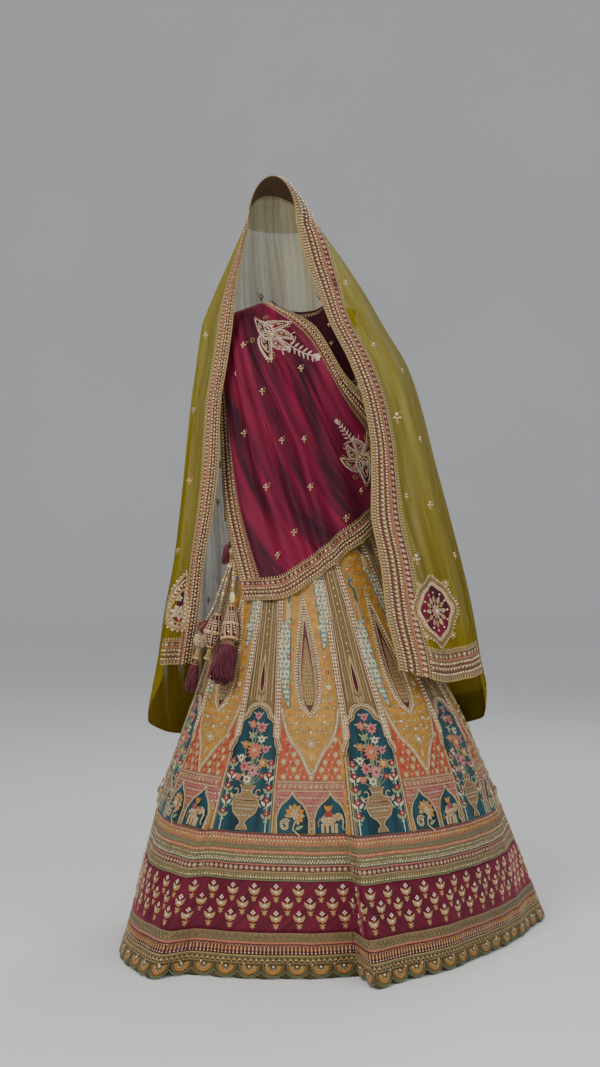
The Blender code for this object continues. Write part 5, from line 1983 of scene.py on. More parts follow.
def peacock() -> Work:
    """A peacock from the side: its tail hangs down from its body at the origin, its head up right."""
    made = Work()
    t = np.linspace(0.0, 1.0, 22)
    spine = np.c_[-0.0095 * np.sin(math.pi * 0.85 * t) - 0.003 * t, -0.178 * t]
    half = 0.0118 * np.sin(math.pi * (0.16 + 0.84 * t)) ** 0.6 + 0.0004
    left, right = spine - np.c_[half, half * 0], spine + np.c_[half, half * 0]
    made.patch(left, right, Finish.CREAM, 0.0008, 4)
    for edge in (left, right):
        made.cord(edge, 0.0020, Finish.DEEP_GREEN, 0.0008)
        made.cord(edge + (np.sign(edge[0, 0]) * 0.0018, 0.0), 0.0016, Finish.GOLD, 0.0006)
    for row in range(17):
        share = 0.05 + 0.054 * row
        x = float(np.interp(share, t, spine[:, 0]))
        room = float(np.interp(share, t, half))
        for k in (-1, 1) if row % 2 else (-1, 0, 1):
            place = (x + k * room * (0.42 if row % 2 else 0.66), -0.178 * share)
            made.beads([place], 0.0030, Finish.LEAF, 0.25, 0.0012)
            made.beads([place], 0.0020, Finish.BLUE, 0.8, 0.0018)
    made.leaf((-0.001, -0.016), (0.005, 0.030), 0.0190, Finish.PALE_GOLD, 0.0012)
    for k in range(4):
        made.leaf((0.002, 0.020 - 0.006 * k), (-0.007 - 0.001 * k, 0.006 - 0.008 * k), 0.0050,
                  Finish.AMBER, 0.0040)
    neck = np.array([(0.004, 0.020), (0.0095, 0.036), (0.0105, 0.048), (0.0055, 0.058), (0.0075, 0.066)])
    made.cord(neck, 0.0070, Finish.DEEP_GREEN, 0.0014, 0.45, 0.6)
    made.cord(neck + (0.0035, 0.0), 0.0016, Finish.PALE_GOLD, 0.0018)
    made.beads([(0.0085, 0.0675)], 0.0042, Finish.BLUE, 0.8, 0.0016)
    made.beads([(0.0098, 0.0685)], 0.0011, Finish.PEARL, 0.9, 0.0050, 5)
    made.leaf((0.0115, 0.0675), (0.0175, 0.0655), 0.0026, Finish.AMBER, 0.0014)
    for k in (-1, 0, 1):
        made.cord([(0.0080, 0.070), (0.0075 + 0.0032 * k, 0.079)], 0.0009, Finish.GOLD, 0.0012)
        made.beads([(0.0075 + 0.0032 * k, 0.0795)], 0.0013, Finish.BLUE, 0.8, 0.0012, 5)
    for k in (0, 1):
        made.cord([(0.004 + 0.004 * k, -0.004), (0.009 + 0.004 * k, -0.018),
                   (0.0125 + 0.004 * k, -0.019)], 0.0012,
                  Finish.AMBER, 0.0008)
    return made


def elephant() -> Work:
    """A small gold elephant with a howdah cloth, seen from the side."""
    made = Work()
    body = Finish.PALE_GOLD
    made.leaf((-0.0185, -0.002), (0.0120, -0.001), 0.0240, body, 0.0026, 1.0)
    made.leaf((0.0050, -0.002), (0.0190, 0.0070), 0.0150, body, 0.0034, 1.0)
    made.cord([(0.0180, 0.0050), (0.0218, -0.0040), (0.0205, -0.0140), (0.0235, -0.0185)], 0.0048, body,
              0.003, 0.5, 0.45)
    for x in (-0.0140, -0.0060, 0.0030, 0.0095):
        made.cord([(x, -0.008), (x + 0.0005, -0.0225)], 0.0058, body, 0.0024, 0.45, 0.85)
    made.leaf((0.0085, 0.0070), (0.0075, -0.0060), 0.0090, Finish.GOLD, 0.0070)
    made.patch([(-0.0110, -0.006), (0.0030, -0.006)], [(-0.0100, 0.0105), (0.0020, 0.0105)], Finish.RED,
               0.0070, 2)
    made.cord([(-0.0110, -0.006), (0.0030, -0.006)], 0.0016, Finish.BEAD, 0.0072)
    made.beads([(-0.0085, 0.0005), (-0.0040, 0.0005), (0.0005, 0.0005)], 0.0015, Finish.PEARL, 0.9,
               0.0072, 5)
    for k in range(3):
        made.leaf((-0.0040, 0.0100), (-0.0110 + 0.007 * k, 0.0215), 0.0062, Finish.AMBER, 0.0040)
    made.cord([(-0.0180, 0.0010), (-0.0215, -0.0070), (-0.0205, -0.0130)], 0.0014, Finish.GOLD, 0.0026)
    made.beads([(0.0150, 0.0050)], 0.0010, Finish.MAROON, 0.9, 0.0075, 5)
    return made


def flower_spray() -> Work:
    """A bowed stem with a fan of leaf-shaped petals, as in a small arch."""
    made = Work()
    for k in range(9):
        a = math.radians(-70 + 32 * k)
        out = np.array([math.cos(a), math.sin(a)])
        made.leaf(np.array([0.004, 0.004]) + out * 0.0050, np.array([0.004, 0.004]) + out * 0.0170, 0.0085,
                  Finish.AMBER if k % 2 else Finish.GOLD, 0.0026)
    made.flower(0.004, 0.004, 0.0085, Finish.PALE_GOLD, Finish.BEAD, 7, 0.0, 0.0045)
    made.cord(curl(-0.012, -0.012, 0.0100, 40, 1.2, 0.2, 16), 0.0030, Finish.PALE_GOLD, 0.0026)
    made.beads(spaced(curl(-0.012, -0.012, 0.0060, 40, 0.9, 0.4, 10), 0.0036), 0.0013, Finish.BEAD, 0.8,
               0.003, 5)
    made.cord([(0.004, -0.006), (0.0, -0.018), (0.012, -0.028)], 0.0026, Finish.PALE_GOLD, 0.0026)
    made.leaf((0.004, -0.018), (0.018, -0.012), 0.0060, Finish.LEAF, 0.0026)
    return made


class Turned(Surface):
    """A turned piece hung on a line: u is degrees round it and v the share of the way down."""

    step = (2.0, 0.01)
    side = -1.0

    def __init__(self, profile: Sequence[tuple[float, float]], top: Vector, bottom: Vector) -> None:
        """Take the profile, as radius and share of the length, and both ends."""
        self.profile = Table("share radius", [(share, radius) for radius, share in profile])
        self.top, self.length = np.array(top), (bottom - top).length
        self.turn = np.array((top - bottom).to_track_quat("Z", "Y").to_matrix())

    def point(self, u: Array, v: Array) -> Array:
        """The points at u and v."""
        v = np.clip(v, 0.0, 1.0)
        a, radius = np.radians(u), np.maximum(self.profile("radius", v), 0.0004)
        local = np.stack([radius * np.cos(a), radius * np.sin(a), -self.length * v], axis=-1)
        return self.top + local @ self.turn.T

    def body(self, finish: Finish, sides: int = 20, rows: int = 14) -> Work:
        """The piece's own form."""
        u, v = np.meshgrid(np.linspace(0.0, 360.0, sides + 1), np.linspace(0.0, 1.0, rows))
        work = Work()
        work.grid(self.point(u, v)[::-1], np.stack([np.radians(u) * 0.012, v * self.length], axis=-1)[::-1],
                  finish)
        return work

    def ring(self, share: float, width: float = 0.001) -> Band:
        """A band once round the piece at a share of the way down; its y points up."""
        reach = width / self.length
        return Band(Strip(self, lambda s: (360.0 * s, np.full_like(s, share)),
                          lambda s: (360.0 * s, np.full_like(s, share - reach)), width), 0.004)

    def rib(self, degrees: float, low: float = 0.03, high: float = 0.97, twist: float = 0.0) -> Band:
        """A band down the piece at an angle."""
        return Band(Strip(self, lambda s: (degrees + twist * s, low + (high - low) * s),
                          lambda s: (degrees + twist * s + 5.0, low + (high - low) * s), 0.001), 0.005)


def tube(points: Sequence[Vector], width: float, finish: Finish, sides: int = 8,
         tip: float = 1.0) -> Work:
    """A round cord through points in space.

    Args:
        points: The places that it passes, close together.
        width: Its diameter.
        finish: Its finish.
        sides: The number of its sides.
        tip: The diameter at its end as a share of that at its start.

    Returns:
        The cord, in place.
    """
    line = np.array([tuple(point) for point in points])
    ahead = np.gradient(line, axis=0)
    ahead /= np.maximum(np.linalg.norm(ahead, axis=1, keepdims=True), 1e-9)
    first = np.cross(ahead, (0.31, 0.95, 0.05))
    first /= np.linalg.norm(first, axis=1, keepdims=True)
    second = np.cross(ahead, first)
    run = np.r_[0.0, np.cumsum(np.linalg.norm(np.diff(line, axis=0), axis=1))]
    radius = width / 2 * np.interp(run, [0.0, run[-1]], [1.0, tip])
    a = np.linspace(0.0, math.tau, sides + 1)
    out = first[:, None] * np.cos(a)[None, :, None] + second[:, None] * np.sin(a)[None, :, None]
    made = Work()
    made.grid(line[:, None] + out * radius[:, None, None],
              np.stack(np.broadcast_arrays(run[:, None], a[None] * width / 2), axis=-1), finish)
    return made


def smooth(route: Sequence[Vector], pitch: float = 0.004) -> list[Vector]:
    """Places along a soft curve through a route.

    Args:
        route: The places it runs through.
        pitch: The metres between places.

    Returns:
        The places on the curve.
    """
    places = []
    for i in range(len(route) - 1):
        before, after = route[max(i - 1, 0)], route[min(i + 2, len(route) - 1)]
        start, end = route[i], route[i + 1]
        span = (end - start).length
        ahead, behind = (end - before).normalized() * span, (after - start).normalized() * span
        count = max(2, round(span / pitch))
        for n in range(count):
            t = n / count
            places.append(start * (1 + 2 * t) * (1 - t) ** 2 + ahead * t * (1 - t) ** 2
                          + end * (3 - 2 * t) * t * t - behind * t * t * (1 - t))
    return places + [route[-1]]


@dataclass(frozen=True)
class Latkans:
    """The cords, buds and tassels that hang at the wearer's right hip."""

    cord_width: float = 0.004
    string_width: float = 0.003
    knot_size: float = 0.018
    touch: float = 0.0003
    gather: Vector = field(default_factory=lambda: hung(-0.165, -0.072, 0.956))
    beside: tuple[tuple[float, float, float], ...] = (
        (-51.0, 1.142, 0.0026), (-54.0, 1.118, 0.0040), (-58.0, 1.080, 0.0070), (-63.0, 1.020, 0.0090))
    ball: tuple[tuple[float, float], ...] = (
        (0.0, 0.0), (0.009, 0.1), (0.0165, 0.32), (0.0165, 0.68), (0.009, 0.9), (0.0, 1.0))
    bud: tuple[tuple[float, float], ...] = (
        (0.0, 0.0), (0.006, 0.02), (0.014, 0.22), (0.023, 0.55), (0.017, 0.78), (0.005, 0.98), (0.0, 1.0))
    cap: tuple[tuple[float, float], ...] = (
        (0.0, 0.0), (0.005, 0.03), (0.006, 0.45), (0.011, 0.9), (0.0, 1.0))
    bead: tuple[tuple[float, float], ...] = ((0.0, 0.0), (0.004, 0.1), (0.007, 0.5), (0.004, 0.9),
                                             (0.0, 1.0))
    cone: tuple[tuple[float, float], ...] = (
        (0.0, 0.0), (0.005, 0.02), (0.012, 0.3), (0.021, 0.8), (0.020, 0.98), (0.0, 1.0))
    knot: tuple[tuple[float, float], ...] = ((0.0, 0.0), (0.005, 0.02), (0.009, 0.5), (0.008, 0.97),
                                             (0.0, 1.0))

    def build(self) -> None:
        """Build the cord, the knot, the strings and all that hangs on them."""
        self.add_pieces()
        self.add_tassels()
        low = self.gather - Vector((0.0, 0.0, self.knot_size))
        self.add_knot(low)
        straight, touch = Vector((0.0, 0.0, self.knot_size / 2)), Vector((0.0, 0.0, self.touch))
        route = [Vector(SKIRT.place([azimuth], [height], out)[0]) for azimuth, height, out in self.beside]
        self.add_cord("latkan_cord", [*route, self.gather + straight, self.gather + touch], self.cord_width,
                      ["latkan_knot_ball", "latkan_d_tassel_yarn"], 0.0)
        # Each string runs on through what hangs on it
        strings = {
            "a": (Vector((-0.0045, -0.003, 0.0)), hung(-0.190, -0.085, 0.872), hung(-0.214, -0.092, 0.806),
                  hung(-0.2290, -0.096, 0.7795), hung(-0.2375, -0.098, 0.747),
                  hung(-0.2475, -0.100, 0.7135),
                  hung(-0.2535, -0.100, 0.682), hung(-0.2630, -0.101, 0.640)),
            "b": (Vector((0.0, -0.0050, 0.0)), hung(-0.181, -0.105, 0.872), hung(-0.1985, -0.128, 0.800),
                  hung(-0.2190, -0.136, 0.712), hung(-0.2236, -0.137, 0.686)),
            "c": (Vector((0.0045, -0.001, 0.0)), hung(-0.162, -0.112, 0.905), hung(-0.163, -0.150, 0.853),
                  hung(-0.1635, -0.152, 0.822), hung(-0.1700, -0.187, 0.735), hung(-0.1850, -0.222, 0.665))}
        hangs = {"a": ["latkan_a_ball_work", "latkan_a_bead_ball_work", "latkan_a_cap_work",
                       "latkan_a_tassel_yarn"],
                 "b": ["latkan_b_bud_work", "latkan_b_bell_work"],
                 "c": ["latkan_c_bead_work", "latkan_c_cone_work", "latkan_c_pompon_yarn"]}
        beaded = {"a": 0.176, "b": 0.140, "c": 0.108}
        for name, (start, *places) in strings.items():
            top = low + start - touch
            self.add_cord(f"latkan_{name}_string", [top, top - straight, *places], self.string_width,
                          hangs[name], 0.0075, beaded[name])

    def add_cord(self, name: str, route: list[Vector], width: float, hangs: list[str],
                 pitch: float, beaded: float = 0.0) -> None:
        """A twisted cord, threaded with gold beads where a pitch is given.

        Args:
            name: The CAD node that it stands for.
            route: The places that it passes.
            width: Its diameter.
            hangs: The pieces on it. Not used.
            pitch: The metres between its beads, or 0 for none.
            beaded: How far along it the beads go.
        """
        points = smooth(route)
        run = np.r_[0.0, np.cumsum([(b - a).length for a, b in zip(points, points[1:])])]
        rope = tube(points, width, Finish.GOLD).piece(f"{name}_rope", "gold_cord", [name])
        if pitch:
            beads = Work()
            line = np.array([tuple(point) for point in points])
            for n, at in enumerate(np.arange(0.014, beaded, pitch)):
                middle = Vector([float(np.interp(at, run, line[:, k])) for k in range(3)])
                ahead = Vector([float(np.interp(at + 0.003, run, line[:, k])) for k in range(3)]) - middle
                size = 0.0046 if n % 5 == 2 else 0.0034
                half = ahead.normalized() * size * (1.6 if n % 5 == 2 else 0.85)
                profile = ((0.0, 0.0), (size * 0.8, 0.15), (size, 0.5), (size * 0.8, 0.85), (0.0, 1.0))
                bead = Turned(profile, middle - half, middle + half)
                beads.join(bead.body(Finish.PEARL if n % 5 == 4 else Finish.BEAD, 8, 6))
            beads.piece(f"{name}_beads", "gold_cord")
            hangs = [*hangs, f"{name}_beads"]
        tuple(points[0])
        [tuple(point) for point in points]

    def add_knot(self, low: Vector) -> None:
        """The wrapped knot with a pearl on its front.

        Args:
            low: The place of its lower end.
        """
        turned = Turned(self.knot, self.gather, low)
        work = turned.body(Finish.GOLD)
        for share in (0.2, 0.4, 0.6, 0.8):
            work.join(turned.ring(share).line(0.0, 0.0036, Finish.PALE_GOLD).laid())
        for degrees in range(0, 360, 60):
            pearl = Work()
            pearl.beads([(0.0, 0.0)], 0.0040, Finish.PEARL, 0.9, 0.0006, 8)
            work.join(pearl.moved(turned.seat_at(float(degrees), 0.5)))
        work.piece("latkan_knot_ball", "gold_cord", ["latkan_knot"])

    def add_pieces(self) -> None:
        """The turned beads, buds and bells, embroidered."""
        plan = (("a_ball", self.ball, hung(-0.2293, -0.096, 0.779), hung(-0.2375, -0.098, 0.747),
                 Finish.MAROON, "maroon_yarn"),
                ("a_bead_ball", self.ball, hung(-0.2376, -0.098, 0.7465), hung(-0.2475, -0.100, 0.7135),
                 Finish.ANTIQUE, "gold_cord"),
                ("a_cap", self.cap, hung(-0.2476, -0.100, 0.713), hung(-0.2535, -0.100, 0.682), Finish.GOLD,
                 "gold_cord"),
                ("b_bud", self.bud, hung(-0.1986, -0.1283, 0.7995), hung(-0.2190, -0.136, 0.712),
                 Finish.MAROON_VELVET, "maroon_velvet"),
                ("b_bell", self.cap, hung(-0.2191, -0.136, 0.7115), hung(-0.2240, -0.137, 0.684),
                 Finish.GOLD, "gold_cord"),
                ("c_bead", self.bead, hung(-0.1631, -0.1503, 0.8525), hung(-0.1635, -0.152, 0.822),
                 Finish.IVORY, "ivory_bead"),
                ("c_cone", self.cone, hung(-0.1637, -0.1525, 0.8215), hung(-0.1700, -0.187, 0.735),
                 Finish.MAROON_VELVET, "maroon_velvet"))
        for name, profile, top, bottom, finish, slot in plan:
            turned = Turned(profile, top, bottom)
            work = turned.body(finish)
            self.dress(name, turned, work)
            work.piece(f"latkan_{name}_work", slot, [f"latkan_{name}"])

    def dress(self, name: str, turned: Turned, work: Work) -> None:
        """The threads and beads on a turned piece.

        Args:
            name: The turned piece's name.
            turned: The body that it covers.
            work: The embroidery it is added to.
        """
        if name in ("b_bud", "c_cone"):
            for n in range(8):
                work.join(turned.rib(45.0 * n, twist=26.0).line(0.0, 0.0026, Finish.PALE_GOLD).laid())
                pearls = turned.rib(45.0 * n + 22.0, 0.2, 0.85, 26.0).row(0.0, 0.0072, 0.0021, Finish.PEARL)
                work.join(pearls.laid())
                work.join(turned.rib(45.0 * n, 0.25, 0.9, -40.0).line(0.0, 0.0015, Finish.PINK).laid())
            for share, size in ((0.05, 0.0024), (0.55, 0.0030), (0.95, 0.0030)):
                work.join(turned.ring(share).row(0.0, 0.0052, size, Finish.BEAD).laid())
                work.join(turned.ring(share + 0.03).line(0.0, 0.0024, Finish.GOLD).laid())
        elif name in ("a_cap", "b_bell"):
            for share in (0.08, 0.3, 0.5, 0.8, 0.92):
                work.join(turned.ring(share).line(0.0, 0.0018, Finish.PALE_GOLD).laid())
            work.join(turned.ring(0.88).row(0.0, 0.0052, 0.0021, Finish.BEAD).laid())
        elif name == "a_ball":
            for n in range(6):
                work.join(turned.rib(60.0 * n, twist=80.0).line(0.0, 0.0018, Finish.RED).laid())
                work.join(turned.rib(60.0 * n, twist=-80.0).line(0.0, 0.0016, Finish.GOLD).laid())
        elif name == "a_bead_ball":
            for n, share in enumerate((0.14, 0.28, 0.43, 0.58, 0.73, 0.87)):
                work.join(turned.ring(share).row(0.0, 0.0056, 0.0027,
                                                 Finish.PEARL if n % 2 else Finish.BEAD,
                                                 start=0.5 * (n % 2)).laid())
        else:
            for share in (0.06, 0.94):
                work.join(turned.ring(share).line(0.0, 0.0020, Finish.GOLD).laid())

    def add_tassels(self) -> None:
        """The yarn tassels, each a wrapped head with its strands."""
        plan = (("a_tassel", hung(-0.2536, -0.100, 0.6815), hung(-0.2740, -0.102, 0.594), 0.018, 0.010,
                 1.7, 70),
                ("c_pompon", hung(-0.1701, -0.1873, 0.7345), hung(-0.1930, -0.240, 0.630), 0.020, 0.024,
                 1.45, 190),
                ("d_tassel", hung(-0.1749, -0.070, 0.9740), hung(-0.1890, -0.072, 0.908), 0.016, 0.006,
                 1.8, 40))
        for name, top, bottom, head, radius, flare, count in plan:
            work = self.tassel(top, bottom, head, radius, flare, count)
            work.piece(f"latkan_{name}_yarn", "maroon_yarn", [f"latkan_{name}"])

    @staticmethod
    def tassel(top: Vector, bottom: Vector, head: float, radius: float, flare: float, count: int) -> Work:
        """One tassel.

        Args:
            top: The top of its head.
            bottom: The middle of its strands' ends.
            head: The head's length.
            radius: The head's radius where the strands leave it.
            flare: How many times wider the strands' ends spread.
            count: The number of strands.

        Returns:
            The tassel, in place.
        """
        length = (bottom - top).length
        turn = (top - bottom).to_track_quat("Z", "Y")
        neck = top + (bottom - top) * (head / length)
        turned = Turned(((0.0, 0.0), (radius * 0.35, 0.03), (radius * 0.62, 0.4), (radius * 0.8, 0.75),
                         (radius, 1.0)), top, neck)
        work = turned.body(Finish.YARN, 16, 8)
        for share in (0.12, 0.3, 0.62):
            work.join(turned.ring(share).line(0.0, 0.0020, Finish.GOLD).laid())
        for k in range(count):
            a, out = GOLDEN_ANGLE * k, math.sqrt((k + 0.5) / count)
            start = 0.92 * radius * out
            reach = (length - head) * (0.93 - 0.13 * out + 0.07 * math.sin(2.1 * k))
            line = []
            for n in range(9):
                t = n / 8
                spread = start * (1.0 + (flare - 1.0) * t ** 0.7) + 0.0012 * math.sin(9.0 * t + 1.7 * k)
                sway = a + 0.22 * math.sin(4.0 * t + 0.9 * k)
                line.append(neck + turn @ Vector((spread * math.cos(sway), spread * math.sin(sway),
                                                  0.003 - reach * t)))
            work.join(tube(line, 0.0030, Finish.YARN, 4, 0.6))
        return work


def zari_rows(strip: Strip, full: bool = True) -> Band:
    """The gold rows of a dupatta's border, from its scalloped inner edge out.

    Args:
        strip: The border's place on its cloth.
        full: Whether the inner row is made of rosettes.

    Returns:
        The band with all of its rows.
    """
    w = strip.width
    band = Band(strip, GROUND_PITCH)
    band.leaves(-0.12 * w, 0.05 * w, 0.0068, 0.0036, Finish.PALE_GOLD).line(0.05 * w, 0.0030, Finish.GOLD)
    band.ground(0.08 * w, 0.28 * w, Finish.MAROON_SILK, 0.0005)
    if full:
        band.motifs(rosette(0.100 * w, Finish.PALE_GOLD, Finish.PEARL, 5), 0.18 * w, 0.24 * w)
    else:
        band.row(0.18 * w, 0.0075, 0.0028, Finish.PEARL, 0.0008)
    band.line(0.29 * w, 0.0024, Finish.CORAL, 0.0006).line(0.345 * w, 0.0026, Finish.ANTIQUE)
    band.row(0.42 * w, 0.0074, 0.0031, Finish.BEAD).line(0.49 * w, 0.0022, Finish.MAROON)
    band.zigzag(0.52 * w, 0.66 * w, 0.0105, 0.0026, Finish.GOLD)
    band.row(0.59 * w, 0.0105, 0.0027, Finish.PEARL, start=0.25).line(0.70 * w, 0.0022, Finish.MAROON)
    band.row(0.77 * w, 0.0074, 0.0031, Finish.BEAD).line(0.84 * w, 0.0026, Finish.ANTIQUE)
    band.leaves(0.85 * w, 0.97 * w, 0.0076, 0.0050, Finish.PALE_GOLD, 0.002)
    return band.line(0.985 * w, 0.0036, Finish.GOLD)


def bead_buti(size: float = 1.0) -> Work:
    """Four beads round a leaf, as scattered over velvet or net.

    Args:
        size: How much larger than 17 mm it is made.

    Returns:
        The flat work, ready to be moved to its place.
    """
    made = Work()
    made.leaf((0.0, -0.0085 * size), (0.0, 0.0), 0.0048 * size, Finish.GOLD, 0.0004)
    made.beads([(0.0, 0.0040 * size)], 0.0024 * size, Finish.PEARL, 0.9, 0.0004)
    made.cord(curl(0.0050 * size, 0.0060 * size, 0.0030 * size, -90, 0.7, 0.3, 7), 0.0012 * size,
              Finish.GOLD, 0.0004)
    made.beads(np.array([(-0.0052, 0.0), (0.0052, 0.0), (0.0, -0.001)]) * (0.8 * size), 0.0020 * size,
               Finish.BEAD, 0.9, 0.0004)
    return made


def line_of(u0: float, v0: float, u1: float, v1: float) -> Callable[[Array], tuple[Array, Array]]:
    """A straight line between two places of a cloth."""
    return lambda share: (u0 + (u1 - u0) * share, v0 + (v1 - v0) * share)


def paisley_spray() -> Work:
    """A fan of ivory-gold paisleys with a sprig of leaves trailing up from it."""
    made = Work()
    one = open_paisley(0.058, Finish.IVORY_GOLD, Finish.GOLD, Finish.PEARL)
    for x, y, turn, size, mirror in ((-0.024, -0.008, 58.0, 0.95, False), (0.0, -0.026, 178.0, 1.1, False),
                                     (0.025, -0.006, -62.0, 0.95, True), (-0.013, 0.020, 20.0, 0.62, False),
                                     (0.014, 0.022, -18.0, 0.62, True)):
        made.extend(one, x, y, turn, size, mirror)
    for side in (-1, 1):
        made.cord(curl(side * 0.014, 0.046, 0.0105, 90 - side * 100, side * -0.9), 0.0018,
                  Finish.IVORY_GOLD, 0.0008)
        made.cord(curl(side * 0.038, 0.020, 0.0085, 90, side * 1.0), 0.0017, Finish.GOLD, 0.0008)
        made.cord(curl(side * 0.034, -0.034, 0.0070, 0, side * 1.1), 0.0017, Finish.GOLD, 0.0008)
    stem = np.c_[0.006 * np.sin(np.linspace(0.0, 3.0, 12)), np.linspace(0.02, 0.105, 12)]
    made.cord(stem, 0.0018, Finish.IVORY_GOLD, 0.0006)
    for k in range(6):
        y = 0.044 + 0.0105 * k
        for side in (-1, 1):
            made.leaf((0.004, y), (0.004 + side * (0.013 - 0.0012 * k), y + 0.0075), 0.0042,
                      Finish.IVORY_GOLD, 0.0006)
    made.flower(0.001, 0.108, 0.0070, Finish.IVORY_GOLD, Finish.BEAD, 6, 0.0, 0.0006)
    made.flower(0.0, 0.002, 0.0085, Finish.GOLD, Finish.PEARL, 8, 0.0, 0.0020)
    return made


@dataclass(frozen=True)
class VelvetDupatta:
    """The velvet dupatta: its front, three borders, the wrap under the arm and the back."""

    side_border: float = 0.12
    upper_border: float = 0.92
    butis: tuple[tuple[float, float], ...] = (
        (0.469, 0.195), (0.774, 0.434), (0.494, 0.404), (0.496, 0.559), (0.328, 0.662), (0.566, 0.737),
        (0.777, 0.870), (0.689, 0.905), (0.391, 0.832), (0.260, 0.870), (0.300, 0.300), (0.620, 0.600),
        (0.240, 0.480), (0.640, 0.330))

    def build(self) -> None:
        """Build every stretch."""
        front = Drape()
        rows = np.linspace(0.0, front.end_border, 70)
        panels = (("velvet_front", self.side_border, self.upper_border, 110, rows, Finish.MAROON_VELVET,
                   "maroon_velvet"),
                  ("velvet_side_border", 0.0, self.side_border, 14, rows, Finish.ZARI, "gold_embroidery"),
                  ("velvet_upper_border", self.upper_border, 1.0, 10, rows, Finish.ZARI, "gold_embroidery"),
                  ("velvet_end_border", 0.0, front.wrap_from, 110, np.linspace(front.end_border, 1.0, 7),
                   Finish.ZARI, "gold_embroidery"))
        for name, low, high, count, vs, finish, slot in panels:
            shell(f"{name}_cloth", front, np.linspace(low, high, count), vs, finish, slot, [name])
        shell("velvet_wrap_cloth", DrapeWrap(), np.linspace(front.wrap_from, 1.0, 20),
              np.linspace(0.0, 1.0, 36), Finish.MAROON_VELVET, "maroon_velvet", ["velvet_wrap"])
        shell("velvet_back_cloth", DrapeBack(), np.linspace(0.0, 1.0, 80), np.linspace(0.0, 1.0, 44),
              Finish.MAROON_VELVET, "maroon_velvet", ["velvet_back"])
        self.add_borders(front)
        self.add_motifs(front)

    def add_borders(self, front: Drape) -> None:
        """The gold rows along the side, the top and the end, and along the back's edges.

        Args:
            front: The front stretch of the dupatta.
        """
        end, side, upper = front.end_border, self.side_border, self.upper_border
        rows = zari_rows(Strip(front, line_of(side, 0.02, side, end), line_of(0.0, 0.02, 0.0, end), 0.050))
        rows.laid().piece("velvet_side_border_rows", "gold_embroidery")
        strip = Strip(front, line_of(upper, 0.02, upper, end), line_of(1.0, 0.02, 1.0, end), 0.050)
        rows = zari_rows(strip)
        rows.laid().piece("velvet_upper_border_rows", "gold_embroidery")
        rows = zari_rows(Strip(front, line_of(0.0, end, front.wrap_from, end),
                               line_of(0.0, 1.0, front.wrap_from, 1.0), 0.054))
        rows.laid().piece("velvet_end_border_rows", "gold_embroidery")
        back, wrap = DrapeBack(), DrapeWrap()
        work = Work()
        for low, high in ((0.09, 0.0), (0.91, 1.0)):
            strip = Strip(back, line_of(low, 0.02, low, 1.0), line_of(high, 0.02, high, 1.0), 0.036)
            work.join(zari_rows(strip, False).laid())
        strip = Strip(back, line_of(0.0, 0.925, 1.0, 0.925), line_of(0.0, 1.0, 1.0, 1.0), 0.044)
        work.join(zari_rows(strip).laid())
        work.piece("velvet_back_rows", "gold_embroidery")
        strip = Strip(wrap, line_of(0.93, 0.0, 0.93, 1.0), line_of(1.0, 0.0, 1.0, 1.0), 0.040)
        zari_rows(strip, False).laid().piece("velvet_wrap_rows", "gold_embroidery")

    def add_motifs(self, front: Drape) -> None:
        """The scattered beads and the two paisleys by the upper border.

        Args:
            front: The front stretch of the dupatta.
        """
        work = Work()
        for u, v in self.butis:
            work.join(bead_buti(1.25).moved(front.seat_at(u, v)))
        shape = paisley_spray()
        work.join(shape.moved(front.seat_at(0.735, 0.245, -122.0, 1.2)))
        work.join(shape.moved(front.seat_at(0.835, 0.800, 40.0, 1.1)))
        back = DrapeBack()
        for n in range(20):
            work.join(bead_buti(1.25).moved(back.seat_at(0.20 + 0.15 * (n % 5), 0.18 + 0.19 * (n // 5)
                                                        + 0.05 * (n % 2))))
        work.piece("velvet_dupatta_motifs", "gold_embroidery")


@dataclass(frozen=True)
class Blouse:
    """The sleeveless choli."""

    def build(self) -> None:
        """Build the front and the back, each with a corded edge and scattered beads."""
        for name, front in (("choli_front", True), ("choli_back", False)):
            choli = Choli(front)
            shell(f"{name}_cloth", choli, np.linspace(-1.0, 1.0, 61), np.linspace(0.0, 1.0, 30),
                  Finish.CHOLI_VELVET, "maroon_velvet", [name])
            edge = Band(Strip(choli, line_of(-0.97, 0.965, 0.97, 0.965), line_of(-0.97, 0.995, 0.97, 0.995),
                              0.012), 0.007)
            edge.line(0.0105, 0.0036, Finish.ANTIQUE).row(0.0060, 0.0075, 0.0020, Finish.BEAD)
            work = edge.line(0.0020, 0.0022, Finish.MAROON).laid()
            for n in range(28):
                work.join(bead_buti(0.8).moved(choli.seat_at(-0.78 + 0.26 * (n % 7), 0.2 + 0.2 * (n // 7)
                                                            + 0.06 * (n % 2))))
            work.piece(f"{name}_edge", "gold_embroidery")


